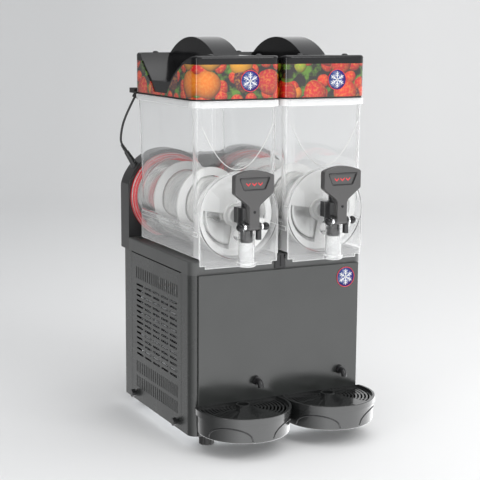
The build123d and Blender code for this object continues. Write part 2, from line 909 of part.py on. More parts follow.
def tap_bracket():
    """Black housing round the tap's tube: closed on top, two ears for the pivot pin, and a claw."""
    ear_low = stem_half_width + stem_clear
    ear_high = ear_low + ear_thick
    claw_top = pivot_z - handle_depth / 2 - claw_gap
    claw_y = (pivot_y - 5, pivot_y + 4)
    with BuildPart() as bracket:
        with BuildSketch(at_z(pivot_z - 5)):
            with Locations((0, tap_y)):
                Circle(tap_tube_radius + bracket_wall)
        extrude(amount=bracket_top - pivot_z + 5)
        block((-ear_low, ear_low), (tap_y, drum_front), (pivot_z + 2, bracket_top - bracket_wall))
        block(
            (-ear_low, ear_low), (pivot_y - 20, tap_y - tap_tube_radius - 1.5), (pivot_z - 5, bracket_top),
            mode=Mode.SUBTRACT,
        )
        for sx in (-1, 1):
            with BuildSketch(at_x(sx * ear_low if sx > 0 else -ear_low - ear_thick)):
                with BuildLine():
                    Polyline((tap_y, pivot_z + 12), (tap_y, pivot_z - 5), (pivot_y, pivot_z - 8))
                    ThreePointArc((pivot_y, pivot_z - 8), (pivot_y - 8, pivot_z), (pivot_y, pivot_z + 8))
                    Line((pivot_y, pivot_z + 8), (tap_y, pivot_z + 12))
                make_face()
                with Locations((pivot_y, pivot_z)):
                    Circle(pin_radius, mode=Mode.SUBTRACT)
            extrude(amount=ear_thick)
        block((ear_low, ear_high), claw_y, (claw_top - claw_length, pivot_z - pin_radius - 1))
        block((ear_low - 4, ear_high), claw_y, (claw_top - claw_length, claw_top))
        with BuildSketch(at_z(pivot_z - 8)):
            with Locations((0, tap_y)):
                Circle(tap_tube_radius)
        extrude(amount=bracket_top - bracket_wall - pivot_z + 8, mode=Mode.SUBTRACT)
        with BuildSketch(at_z(bracket_top - bracket_wall)):
            with Locations((0, tap_y)):
                Circle(rod_radius + turn_clear)
        extrude(amount=bracket_wall, mode=Mode.SUBTRACT)
    return bracket.part


def tap_pin():
    """Pivot pin through both ears and the handle, with chrome collars and a ball knob at each end."""
    collar = stem_half_width + stem_clear + ear_thick + 2
    ball = pin_half_length + 4
    with BuildPart() as pin:
        with BuildSketch(at_y(pivot_y)):
            with Locations((0, pivot_z)):
                Rectangle(2 * pin_half_length, 2 * pin_radius)
            with Locations((-collar, pivot_z), (collar, pivot_z)):
                Rectangle(4, 2 * pin_radius + 5)
            with Locations((-ball, pivot_z), (ball, pivot_z)):
                Circle(knob_radius)
            with Locations((0, pivot_z + 50)):
                Rectangle(200, 100, mode=Mode.INTERSECT)
        revolve(axis=Axis((0, pivot_y, pivot_z), (1, 0, 0)))
    return pin.part


def plunger():
    """Piston that closes the tap's tube, with its rod up through the bracket and a cap on top."""
    piston_low = axis_z - neck_drop - neck_bore - 3
    piston_high = axis_z + tap_tube_top - piston_lift - 5
    with BuildPart() as plunger:
        with BuildSketch(at_z(piston_low)):
            with Locations((0, tap_y)):
                Circle(tap_bore - turn_clear)
        extrude(amount=piston_high - 12 - piston_low)
        chamfer(plunger.edges().group_by(Axis.Z)[0], 2)
        with BuildSketch(at_z(piston_high - 12)):
            with Locations((0, tap_y)):
                Circle(rod_radius)
        extrude(amount=bracket_top + 2 - piston_high + 12)
        with BuildSketch(at_z(bracket_top + 1)):
            with Locations((0, tap_y)):
                Circle(plunger_cap)
        extrude(amount=plunger_cap_height)
        fillet(plunger.edges().group_by(Axis.Z)[-1], 3)
    return plunger.part


def tap_handle():
    """Broad pull handle: a paddle head on a stem that turns on the pivot pin."""
    top = pivot_z + handle_height
    shoulder, neck = top - 10, pivot_z + 42
    low_head = top - 45
    with BuildPart() as handle:
        with BuildSketch(at_y(pivot_y + handle_depth / 2)):
            with BuildLine():
                Polyline(
                    (stem_half_width, pivot_z), (stem_half_width, neck), (handle_half_width, low_head),
                    (handle_half_width, shoulder),
                )
                ThreePointArc((handle_half_width, shoulder), (0, top), (-handle_half_width, shoulder))
                Polyline(
                    (-handle_half_width, shoulder), (-handle_half_width, low_head), (-stem_half_width, neck),
                    (-stem_half_width, pivot_z), (stem_half_width, pivot_z),
                )
            make_face()
            corners = vertices().filter_by_position(Axis.Y, low_head - 1, top)
            fillet(corners, 5)
            fillet(vertices().filter_by_position(Axis.Y, neck - 1, neck + 1), 12)
        extrude(amount=handle_depth)
        fillet(handle.faces().sort_by(Axis.Y)[0].edges(), 2)
        with Locations((0, pivot_y, pivot_z)):
            Cylinder(handle_depth / 2, 2 * stem_half_width, rotation=(0, 90, 0))
        with BuildSketch(at_y(pivot_y - handle_depth / 2)):
            with BuildLine():
                Polyline(
                    (-24, low_head + 6), (24, low_head + 6), (handle_half_width - 8, shoulder - 3),
                    (-handle_half_width + 8, shoulder - 3), (-24, low_head + 6),
                )
            make_face()
            fillet(vertices(), 3)
        extrude(amount=-recess_depth, mode=Mode.SUBTRACT)
        with BuildSketch(at_y(pivot_y + handle_depth / 2)):
            with BuildLine():
                Polyline(
                    (-24, low_head + 4), (24, low_head + 4), (handle_half_width - 5, shoulder - 3),
                    (-handle_half_width + 5, shoulder - 3), (-24, low_head + 4),
                )
            make_face()
        extrude(amount=handle_depth - 5, mode=Mode.SUBTRACT)
        with Locations((0, pivot_y, pivot_z)):
            Cylinder(pin_radius + shaft_fit, 2 * stem_half_width, rotation=(0, 90, 0), mode=Mode.SUBTRACT)
    return handle.part


# ---------------------------------------------------------------- lid


def lid_plan(inset):
    """The lid's rounded outline, drawn in by inset."""
    with Locations((0, (lid_front + lid_back) / 2)):
        RectangleRounded(2 * (lid_half - inset), lid_back - lid_front - 2 * inset, lid_corner - inset)


def valley(grow, floor):
    """The hand recess seen from the side: two convex shoulders, grown by grow, over a level floor."""
    foot, top = lid_low - grow, lid_top + 1
    front, back = valley_middle - valley_foot - grow, valley_middle + valley_foot + grow
    front_end, back_end = valley_middle - valley_front - grow, valley_middle + valley_back + grow
    with BuildSketch() as recess:
        with BuildLine():
            Line((front, foot), (back, foot))
            Bezier(
                (back, foot), (back + 13, foot + 0.4 * lid_tall), (back_end - 21, foot + 0.6 * lid_tall),
                (back_end, top),
            )
            Line((back_end, top), (front_end, top))
            Bezier(
                (front_end, top), (front_end + 67, foot + 0.84 * lid_tall),
                (front - 15, foot + 0.46 * lid_tall), (front, foot),
            )
        make_face()
        with Locations((valley_middle, floor - grow + lid_tall)):
            Rectangle(2 * (lid_back - lid_front), 2 * lid_tall, mode=Mode.INTERSECT)
    return recess.sketch


def lid_cavity():
    """The hollow under the lid's walls, used to shell the cover."""
    with BuildPart() as cavity:
        with BuildSketch(at_z(lid_low)):
            lid_plan(print_sheet + lid_wall)
        extrude(amount=lid_tall - lid_wall)
        for low in (web_half - lid_wall, -lid_half):
            with BuildSketch(at_x(low)):
                add(valley(lid_wall, rim_z + valley_floor))
            extrude(amount=lid_half - web_half + lid_wall, mode=Mode.SUBTRACT)
    return cavity.part


def lid_cover():
    """Black moulded lid: a hollow box with a hand recess on each side of an arched carrying web."""
    cavity = lid_cavity()
    with BuildPart() as cover:
        with BuildSketch(at_z(lid_low)):
            lid_plan(print_sheet)
        extrude(amount=lid_tall - lid_band)
        with BuildSketch(at_z(lid_top - lid_band)):
            lid_plan(0)
        extrude(amount=lid_band)
        fillet(cover.edges().group_by(Axis.Z)[-1], 6)
        for low in (web_half, -lid_half):
            with BuildSketch(at_x(low)):
                add(valley(0, rim_z + valley_floor))
            extrude(amount=lid_half - web_half, mode=Mode.SUBTRACT)
        add(cavity, mode=Mode.SUBTRACT)
        with BuildSketch(at_x(-web_half)):
            with BuildLine():
                ThreePointArc(
                    (valley_middle - 122, lid_top - lid_wall), (valley_middle - 11, lid_top + web_rise),
                    (valley_middle + 106, lid_top - lid_wall),
                )
                Line((valley_middle + 106, lid_top - lid_wall), (valley_middle - 122, lid_top - lid_wall))
            make_face()
        extrude(amount=web_width)
    return cover.part


def lid_print():
    """Printed translucent skirt round the lid, cut away along the hand recesses."""
    with BuildPart() as skirt:
        with BuildSketch(at_z(lid_low)):
            lid_plan(0)
            with BuildSketch(at_z(0), mode=Mode.SUBTRACT):
                lid_plan(print_sheet)
        extrude(amount=lid_tall - lid_band)
        with BuildSketch(at_x(-lid_half - 1)):
            add(valley(print_edge, lid_low + 2 * print_edge))
        extrude(amount=2 * lid_half + 2, mode=Mode.SUBTRACT)
    return skirt.part


def lid_base():
    """Seal plate under the left lid, with its locating lip and the lug of the lead's gland."""
    with BuildPart() as base:
        with BuildSketch(at_z(rim_z)):
            lid_plan(print_sheet)
        extrude(amount=lid_seal)
        with BuildSketch(at_z(rim_z - 7)):
            with Locations((0, (bowl_front + bowl_back) / 2)):
                RectangleRounded(bowl_width - 10, bowl_length - 16, bowl_corner - 4)
                Rectangle(bowl_width - 40, bowl_length - 46, mode=Mode.SUBTRACT)
        extrude(amount=7)
    return base.part.moved(Location((-half_pitch, 0, 0)))


def lid_gland():
    """Lug at the left lid's rear corner with the gland that its lead leaves by."""
    gland_top = lid_low + 7
    end = Vector(-half_pitch - lid_half + 8.3, lid_back + 21.2, lid_low - 14.5)
    with BuildPart() as gland:
        block((end.X - 9, end.X + 9), (lid_back, end.Y + 10), (rim_z, gland_top))
        fillet(gland.edges().filter_by(Axis.Z).group_by(Axis.Y)[-1], 4)
        with BuildSketch(Plane(origin=end, z_dir=Vector(lead_exit) - Vector(lead_route[1]))):
            Circle(6)
        extrude(amount=24)
        block(
            (end.X - 30, end.X + 30), (end.Y - 30, end.Y + 30),
            (gland_top, gland_top + 60), mode=Mode.SUBTRACT,
        )
        block(
            (end.X - 30, end.X + 30), (end.Y - 60, lid_back),
            (lid_low - 40, gland_top + 60), mode=Mode.SUBTRACT,
        )
        block((end.X - 9, end.X + 9), (lid_back - 12, lid_back + 1), (rim_z, lid_low))
    return gland.part


# ---------------------------------------------------------------- lid's lead


def plug_axis():
    """Direction in which the plug points, down into its socket."""
    return Vector(sin(plug_tilt), 0, -cos(plug_tilt))


def socket_face():
    """Plane of the left socket's face on the tower's shoulder, facing out along the plug."""
    reach = arch_radius + socket_proud
    return Plane(
        origin=(
            -half_pitch + reach * cos(socket_bearing),
            tower_back - tower_depth / 2 - 4,
            axis_z + reach * sin(socket_bearing),
        ),
        z_dir=-plug_axis(),
    )


def lead_sockets():
    """Sockets for the two lid leads, one on each shoulder of the tower."""
    with BuildPart() as sockets:
        with BuildSketch(socket_face()):
            Circle(socket_radius)
        extrude(amount=-socket_depth)
        with BuildSketch(socket_face().offset(-socket_depth)):
            Circle(socket_radius - 3)
        extrude(amount=-8)
        mirror(about=Plane.YZ)
    return sockets.part


def lead_plug():
    """Tapered plug on the end of the left lid's lead."""
    with BuildPart() as plug:
        with BuildSketch(socket_face().offset(plug_gap)):
            Circle(7.5)
        with BuildSketch(socket_face().offset(plug_gap + plug_length - 8)):
            Circle(5.5)
        loft()
        with BuildSketch(socket_face().offset(plug_gap + plug_length - 8)):
            Circle(4)
        extrude(amount=8)
    return plug.part


def lead_end():
    """The lead's last two points: straight into the back of its plug."""
    back = plug_gap + plug_length
    return [socket_face().offset(back + lead_straight).origin, socket_face().offset(back).origin]


def lid_lead():
    """Round lead from the left lid's gland to its plug."""
    points = [Vector(point) for point in lead_route] + lead_end()
    print("lead route", [(round(point.X, 2), round(point.Y, 2), round(point.Z, 2)) for point in points])
    radii = []
    for before, corner, after in zip(points, points[1:], points[2:]):
        turn = (corner - before).get_angle(after - corner)
        shorter = min((corner - before).length, (after - corner).length)
        radii.append(0.45 * shorter / tan(radians(turn) / 2))
    print("lead radii", [round(radius, 1) for radius in radii])
    with BuildPart() as lead:
        with BuildLine() as path:
            FilletPolyline(*points, radius=radii)
        with BuildSketch(Plane(origin=points[0], z_dir=points[1] - points[0])):
            Circle(lead_diameter / 2)
        sweep(path=path.line)
    print("lead length", round(sum(edge.length for edge in path.edges()), 1))
    return lead.part


# ---------------------------------------------------------------- drip trays


def tray_plan(radius, back):
    """Round plan of a tray, cut off level with the front panel at its back."""
    with Locations((0, front_y - tray_offset)):
        Circle(radius)
    with Locations((0, back - 2 * radius)):
        Rectangle(4 * radius, 4 * radius, mode=Mode.INTERSECT)


def drip_tray():
    """Drip tray: D-shaped pan with a proud rim, hung on the front panel by two tongues."""
    with BuildPart() as tray:
        with BuildSketch(at_z(tray_top)):
            tray_plan(tray_body, front_y - slide_clear)
        extrude(amount=-tray_height, taper=2)
        fillet(tray.edges().group_by(Axis.Z)[0], 3)
        with BuildSketch(at_z(tray_top)):
            tray_plan(tray_radius, front_y - slide_clear)
        extrude(amount=-tray_rim)
        fillet(tray.edges().group_by(Axis.Z)[-1], 1)
        with BuildSketch(at_z(tray_top)):
            tray_plan(tray_body - tray_wall, front_y - slide_clear - tray_wall)
        extrude(amount=-(tray_top - grate_ledge), mode=Mode.SUBTRACT)
        with BuildSketch(at_z(grate_ledge)):
            tray_plan(tray_body - tray_wall - 2, front_y - slide_clear - tray_wall - 2)
        extrude(amount=-(grate_ledge - tray_base - tray_wall), taper=2, mode=Mode.SUBTRACT)
        for sx in (-1, 1):
            x = sx * tongue_side
            block(
                (x - tongue_width / 2, x + tongue_width / 2),
                (front_y - slide_clear - tray_wall - 1, front_y + tongue_length),
                (tongue_z - tongue_thick / 2, tongue_z + tongue_thick / 2),
            )
    return tray.part


def ramp_sector(reach):
    """The wedge in front of the tray's middle that the grate's ramp fills, out to the given reach."""
    half = radians(ramp_half_angle)
    with BuildSketch() as wedge:
        with BuildLine():
            Polyline(
                (0, 0), (-reach * sin(half), -reach * cos(half)), (0, -reach / cos(half)),
                (reach * sin(half), -reach * cos(half)), (0, 0),
            )
        make_face()
    return wedge.sketch.moved(Location((0, front_y - tray_offset, 0)))


def grate_ramp(reach):
    """The ramp in front of the grate's collar: a sector of a flat cone, out to the given reach."""
    middle = front_y - tray_offset
    top = grate_ledge + grate_thick
    with BuildPart() as ramp:
        with BuildSketch(at_x(0)):
            with BuildLine():
                Polyline(
                    (middle - collar_radius + 2, grate_ledge), (middle - reach, grate_ledge),
                    (middle - reach, top + 0.5), (middle - collar_radius + 2, top + ramp_rise - 1.5),
                    (middle - collar_radius + 2, grate_ledge),
                )
            make_face()
        revolve(axis=Axis((0, middle, 0), (0, 0, 1)), revolution_arc=2 * ramp_half_angle)
    return ramp.part.rotate(Axis((0, middle, 0), (0, 0, 1)), -ramp_half_angle)


def tray_grate():
    """Slotted grate in a tray: rings of slots between ribs, a plain ramp in front, a raised collar."""
    radius = tray_body - tray_wall - grate_clear
    back = front_y - slide_clear - tray_wall - grate_clear
    middle = front_y - tray_offset
    rings = int((radius - ring_inner) / ring_pitch)
    with BuildPart() as grate:
        with BuildSketch(at_z(grate_ledge)):
            tray_plan(radius, back)
        extrude(amount=grate_thick)
        with BuildSketch(at_z(grate_ledge)):
            for ring in reversed(range(rings)):
                with Locations((0, middle)):
                    Circle(ring_inner + ring * ring_pitch + ring_slot)
                    Circle(ring_inner + ring * ring_pitch, mode=Mode.SUBTRACT)
            with Locations((0, middle)):
                for angle in range(0, 180, 30):
                    Rectangle(2 * radius, grate_rib, rotation=angle + 15, mode=Mode.SUBTRACT)
            add(ramp_sector(radius), mode=Mode.SUBTRACT)
            with Locations((0, back - 3 - 2 * radius)):
                Rectangle(4 * radius, 4 * radius, mode=Mode.INTERSECT)
        extrude(amount=grate_thick, mode=Mode.SUBTRACT)
        add(grate_ramp(radius - 6))
        with BuildSketch(at_z(grate_ledge)):
            with Locations((0, middle)):
                Circle(collar_radius)
        extrude(amount=grate_thick + ramp_rise)
        with BuildSketch(at_z(grate_ledge)):
            with Locations((0, middle)):
                Circle(collar_bore)
        extrude(amount=grate_thick + ramp_rise, mode=Mode.SUBTRACT)
    return grate.part


# ---------------------------------------------------------------- controls on the rear panel


def control_openings():
    """Openings for the switches and dials, drawn for an upright plane across the machine."""
    for _, x in switch_places:
        with Locations((x, control_z)):
            Rectangle(2 * (switch_half[0] + switch_side_clear), 2 * (switch_half[1] + switch_clear))
    for _, x in dial_places:
        with Locations((x, control_z)):
            Circle(dial_shaft + shaft_fit)


def control_plate():
    """Plate on the rear panel that carries the switches and the chill dials."""
    with BuildPart() as plate:
        block((-plate_half, plate_half), (cabinet_back, plate_face), (plate_low, plate_high))
        fillet(plate.edges().filter_by(Axis.Y), 5)
        with BuildSketch(at_y(plate_face)):
            control_openings()
        extrude(amount=plate_thick, mode=Mode.SUBTRACT)
    return plate.part


def rocker(x):
    """Rocker switch cap, turning on two short pins in the plate's face."""
    half, tall = switch_half
    with BuildPart() as cap:
        block((x - half, x + half), (plate_face - 5, plate_face + 3), (control_z - tall, control_z + tall))
        chamfer(cap.edges().filter_by(Axis.X).group_by(Axis.Y)[-1], 1)
        with Locations((x, plate_face, control_z)):
            Cylinder(switch_pin, 2 * half + 1.6 * switch_side_clear, rotation=(0, 90, 0))
    return cap.part


def dial(x):
    """Chill dial with its shaft through the plate."""
    with BuildPart() as dial:
        with BuildSketch(at_y(plate_face + 14)):
            with Locations((x, control_z)):
                Circle(dial_radius)
                with PolarLocations(dial_radius + 1.2, 10):
                    Circle(2, mode=Mode.SUBTRACT)
        extrude(amount=14 - slide_clear)
        with BuildSketch(at_y(plate_face)):
            with Locations((x, control_z)):
                Circle(dial_shaft)
        extrude(amount=plate_thick + sheet + 6)
        with BuildSketch(at_y(plate_face)):
            with Locations((x, control_z)):
                Circle(dial_shaft)
        extrude(amount=-2)
    return dial.part


# ---------------------------------------------------------------- cooling unit


def compressor():
    """Welded compressor can on its four feet."""
    x, y, radius, tall = 90, 60, 62, 150
    with BuildPart() as can:
        with BuildSketch(at_z(pan_floor + 10)):
            with Locations((x, y)):
                Circle(radius)
        extrude(amount=tall)
        fillet(can.edges().filter_by(GeomType.CIRCLE), 26)
        block((x - 60, x + 60), (y - 48, y + 48), (pan_floor + 7, pan_floor + 12))
        with Locations((x, y, pan_floor + 4)):
            with GridLocations(104, 80, 2, 2):
                Cylinder(8, 8)
    return can.part


def condenser():
    """Finned condenser behind the left louvres, standing in the pan."""
    outside, inside = -half_width + condenser_inset, -half_width + condenser_inset + condenser_depth
    frame_wall = 5
    field_half, field_tall = condenser_half - frame_wall, condenser_height - 2 * frame_wall
    with BuildPart() as coil:
        block(
            (outside, inside), (fan_y - condenser_half, fan_y + condenser_half),
            (pan_floor, pan_floor + condenser_height),
        )
        block(
            (outside, inside), (fan_y - field_half, fan_y + field_half),
            (pan_floor + frame_wall, pan_floor + frame_wall + field_tall),
            mode=Mode.SUBTRACT,
        )
        with BuildSketch(at_x(outside + 2)):
            with Locations((fan_y, pan_floor + condenser_height / 2)):
                with GridLocations(field_half / 10, 1, 20, 1):
                    Rectangle(0.8, field_tall + 1)
                with GridLocations(1, field_tall / 6, 1, 6):
                    Rectangle(2 * field_half + 1, 9)
        extrude(amount=condenser_depth - 4)
    return coil.part


def fan_motor():
    """Fan motor on a bracket that stands in the pan."""
    with BuildPart() as motor:
        with BuildSketch(at_x(fan_x + 16)):
            with Locations((fan_y, fan_z)):
                Circle(32)
        extrude(amount=44)
        block((fan_x + 30, fan_x + 50), (fan_y - 20, fan_y + 20), (pan_floor + 3, fan_z))
        block((fan_x + 20, fan_x + 76), (fan_y - 45, fan_y + 45), (pan_floor, pan_floor + 3))
        with BuildSketch(at_x(fan_x - 8)):
            with Locations((fan_y, fan_z)):
                Circle(motor_shaft)
        extrude(amount=24)
    return motor.part


def fan():
    """Five-bladed fan on the motor's shaft."""
    with BuildPart(Plane(origin=(fan_x, fan_y, fan_z), x_dir=(0, 1, 0), z_dir=(1, 0, 0))) as fan:
        Cylinder(22, 22)
        with PolarLocations(fan_reach / 2 + 8, 5):
            Box(fan_reach - 18, 42, 2.5, rotation=(24, 0, 0))
        Cylinder(motor_shaft + shaft_fit, 30, mode=Mode.SUBTRACT)
    return fan.part


# ---------------------------------------------------------------- writing
save(base_pan(), "base_pan")
save(feet(), "feet")
save(column(), "left_column")
save(column().mirror(Plane.YZ), "right_column")
save(rear_posts(), "rear_posts")
save(louvre_panel(), "left_louvre_panel")
save(louvre_panel().mirror(Plane.YZ), "right_louvre_panel")
save(thumbscrews(), "thumbscrews")
save(front_panel(), "front_panel")
save(rear_panel(), "rear_panel")
save(mains_inlet(), "mains_inlet")
save(deck(), "deck")
save(centre_cap(), "centre_cap")
save(tower_front_cover(), "tower_front_cover")
save(tower_rear_cover(), "tower_rear_cover")
save(lead_sockets(), "lead_sockets")
save(control_plate(), "control_plate")
save(compressor(), "compressor")
save(condenser(), "condenser")
save(fan_motor(), "fan_motor")
save(fan(), "fan")
for name, x in switch_places:
    save(rocker(x), f"{name}_switch")
for name, x in dial_places:
    save(dial(x), f"{name}_dial")
for make in (
    drain_elbow, drip_tray, tray_grate, gasket, evaporator, drive_shaft, gearmotor, auger, bowl,
    tap_bracket, tap_pin, plunger, tap_handle, lid_cover, lid_print,
):
    save_pair(make(), make.__name__)
save(lid_base() + lid_gland(), "left_lid_base")
save((lid_base() + lid_gland()).mirror(Plane.YZ), "right_lid_base")
save(lid_lead(), "left_lid_lead")
save(lead_plug(), "left_lid_plug")
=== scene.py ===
from math import cos, pi, radians, sin

import bmesh
import bpy
from mathutils import Matrix, Vector


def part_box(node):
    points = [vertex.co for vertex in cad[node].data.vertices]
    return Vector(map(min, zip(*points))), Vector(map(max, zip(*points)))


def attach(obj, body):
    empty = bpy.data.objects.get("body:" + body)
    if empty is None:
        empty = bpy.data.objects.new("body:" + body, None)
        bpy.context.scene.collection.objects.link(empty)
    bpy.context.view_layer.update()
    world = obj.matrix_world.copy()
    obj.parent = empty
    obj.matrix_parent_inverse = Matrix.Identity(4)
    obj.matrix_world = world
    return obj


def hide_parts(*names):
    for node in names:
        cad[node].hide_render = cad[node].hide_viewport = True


# Looks of the twin-bowl slushie machine. Metres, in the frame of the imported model.

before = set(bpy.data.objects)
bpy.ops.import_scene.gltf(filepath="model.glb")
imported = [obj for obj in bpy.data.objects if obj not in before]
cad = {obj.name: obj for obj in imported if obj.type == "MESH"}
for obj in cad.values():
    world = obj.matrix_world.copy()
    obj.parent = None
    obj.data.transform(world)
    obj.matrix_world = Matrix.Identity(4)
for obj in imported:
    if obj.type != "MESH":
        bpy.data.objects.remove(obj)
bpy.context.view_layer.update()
SIDES = ("left", "right")

# ---------------------------------------------------------------- camera
CAMERA_PLACE = (-1.2287, -2.4033, 0.8633)
CAMERA_HEADING = radians(-26.52)
CAMERA_TILT = radians(90 - 9.77)
CAMERA_ROLL = radians(0.39)
LENS = 95.54
SENSOR = 36


def make_camera():
    """The one camera, at the photograph's place and angle."""
    data = bpy.data.cameras.new("camera")
    data.lens = LENS
    data.sensor_width = SENSOR
    camera = bpy.data.objects.new("camera", data)
    bpy.context.scene.collection.objects.link(camera)
    turn = Matrix.Rotation(CAMERA_HEADING, 4, "Z") @ Matrix.Rotation(CAMERA_TILT, 4, "X")
    roll = Matrix.Rotation(CAMERA_ROLL, 4, "Z")
    camera.matrix_world = Matrix.Translation(CAMERA_PLACE) @ turn @ roll
    bpy.context.scene.camera = camera


make_camera()

# ---------------------------------------------------------------- left lid's lead
LEAD_DIAMETER = 0.005
LEAD_ROUTE = (
    (-0.187, 0.206, 0.696),
    (-0.196, 0.209, 0.677),
    (-0.2045, 0.214, 0.656),
    (-0.2105, 0.220, 0.634),
    (-0.2115, 0.227, 0.612),
    (-0.2098, 0.2325, 0.5952),
    (-0.2011, 0.2325, 0.5818),
)


def make_lead():
    """The round lead from the lid's gland to its plug, as one smooth spline."""
    curve = bpy.data.curves.new("lid_lead_jacket", "CURVE")
    curve.dimensions = "3D"
    curve.bevel_depth = 1
    curve.bevel_resolution = 6
    curve.resolution_u = 16
    curve.use_fill_caps = True
    spline = curve.splines.new("NURBS")
    spline.points.add(len(LEAD_ROUTE) - 1)
    for point, place in zip(spline.points, LEAD_ROUTE):
        point.co = (*place, 1)
        point.radius = LEAD_DIAMETER / 2
    spline.order_u = 3
    spline.use_endpoint_u = True
    lead = bpy.data.objects.new("lid_lead_jacket", curve)
    bpy.context.scene.collection.objects.link(lead)
    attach(lead, "left_lid")
    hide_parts("left_lid_lead")
    return lead


lead = make_lead()

# ---------------------------------------------------------------- material building blocks


def new_material(name):
    """A material with its node tree and its Principled shader."""
    material = bpy.data.materials.new(name)
    material.use_nodes = True
    tree = material.node_tree
    return material, tree, tree.nodes["Principled BSDF"]


def add_node(tree, kind, **values):
    """A node of that kind. Values name its inputs; a socket given as a value is linked."""
    node = tree.nodes.new(kind)
    for name, value in values.items():
        socket = node.inputs[int(name[2:])] if name.startswith("in") else node.inputs[name]
        if isinstance(value, bpy.types.NodeSocket):
            tree.links.new(value, socket)
        else:
            socket.default_value = value
    return node


def math(tree, operation, *values):
    """The result of a Math node on one to three numbers or sockets."""
    node = tree.nodes.new("ShaderNodeMath")
    node.operation = operation
    for socket, value in zip(node.inputs, values):
        if isinstance(value, bpy.types.NodeSocket):
            tree.links.new(value, socket)
        else:
            socket.default_value = value
    return node.outputs[0]


def mix(tree, amount, first, second):
    """A colour between first and second."""
    node = tree.nodes.new("ShaderNodeMix")
    node.data_type = "RGBA"
    for socket, value in zip((node.inputs[0], node.inputs[6], node.inputs[7]), (amount, first, second)):
        if isinstance(value, bpy.types.NodeSocket):
            tree.links.new(value, socket)
        elif isinstance(value, (int, float)):
            socket.default_value = value
        else:
            socket.default_value = (*value, 1)
    return node.outputs[2]


def between(tree, value, low, high, start=0.0, end=1.0):
    """value, taken from the range start to end into the range low to high."""
    node = tree.nodes.new("ShaderNodeMapRange")
    tree.links.new(value, node.inputs["Value"])
    node.inputs["From Min"].default_value = start
    node.inputs["From Max"].default_value = end
    node.inputs["To Min"].default_value = low
    node.inputs["To Max"].default_value = high
    return node.outputs["Result"]


def position(tree, scale=(1, 1, 1)):
    """The object's own coordinates, in metres, stretched by scale."""
    coordinates = tree.nodes.new("ShaderNodeTexCoord")
    mapping = add_node(tree, "ShaderNodeMapping", Vector=coordinates.outputs["Object"], Scale=scale)
    return mapping.outputs["Vector"]


def noise(tree, vector, scale, detail=3.0, roughness=0.55):
    """A noise value over vector."""
    node = add_node(
        tree, "ShaderNodeTexNoise", Vector=vector, Scale=scale, Detail=detail, Roughness=roughness,
    )
    return node.outputs["Fac"]


def edge_mask(tree, radius):
    """Near 1 along convex and concave edges, 0 on open faces."""
    bevel = tree.nodes.new("ShaderNodeBevel")
    bevel.samples = 4
    bevel.inputs["Radius"].default_value = radius
    geometry = tree.nodes.new("ShaderNodeNewGeometry")
    product = tree.nodes.new("ShaderNodeVectorMath")
    product.operation = "DOT_PRODUCT"
    tree.links.new(bevel.outputs["Normal"], product.inputs[0])
    tree.links.new(geometry.outputs["Normal"], product.inputs[1])
    return between(tree, product.outputs["Value"], 0.0, 1.0, 0.995, 0.9)


def scaled(colour, factor):
    """A colour made lighter or darker."""
    return tuple(min(1.0, part * factor) for part in colour)


def surface(
    name, colour, roughness, metallic=0.0, spread=0.15, rough_spread=0.06, grain=900.0, bump=0.12,
    depth=0.00004, stretch=(1, 1, 1), wear=0.0, wear_colour=(0.4, 0.4, 0.4), edge=0.0008, coat=0.0,
    cloud=14.0, specular=0.5,
):
    """A moulded, painted or metal surface: cloudy colour and roughness, fine grain, rubbed edges."""
    material, tree, shader = new_material(name)
    where = position(tree, stretch)
    clouds = noise(tree, where, cloud, 5.0)
    fine = noise(tree, where, grain, 2.0)
    shade = mix(tree, clouds, scaled(colour, 1 - spread), scaled(colour, 1 + spread))
    if wear:
        patches = between(tree, noise(tree, position(tree), 60.0, 4.0), 0.0, wear, 0.42, 0.62)
        rubbed = math(tree, "MULTIPLY", edge_mask(tree, edge), patches)
        shade = mix(tree, rubbed, shade, wear_colour)
    tree.links.new(shade, shader.inputs["Base Color"])
    mottled = math(tree, "ADD", math(tree, "MULTIPLY", clouds, 0.7), math(tree, "MULTIPLY", fine, 0.3))
    rough = between(tree, mottled, roughness - rough_spread, roughness + rough_spread, 0.3, 0.7)
    tree.links.new(rough, shader.inputs["Roughness"])
    relief = add_node(tree, "ShaderNodeBump", Strength=bump, Distance=depth, Height=fine)
    tree.links.new(relief.outputs["Normal"], shader.inputs["Normal"])
    shader.inputs["Metallic"].default_value = metallic
    shader.inputs["Specular IOR Level"].default_value = specular
    if coat:
        shader.inputs["Coat Weight"].default_value = coat
        shader.inputs["Coat Roughness"].default_value = 0.08
    return material


# ---------------------------------------------------------------- the machine's materials


# Milky white painted into the bowls: the haze amount is random, the skirt, rim, corner and edge amounts are
# painted highlights.
SKIRT_HIGHLIGHT, RIM_HIGHLIGHT, CORNER_HIGHLIGHT = 0.17, 0.35, 0.30
HAZE_MILK, EDGE_HIGHLIGHT, MOST_HAZE_AND_HIGHLIGHT = 0.05, 0.62, 0.85
SKIRT_FADE = (0.075, 0.045)
RIM_FADE = (0.015, 0.013)
CORNER_FADE = (0.014, 0.008)
FRONT_FADE = (0.006, 0.004)


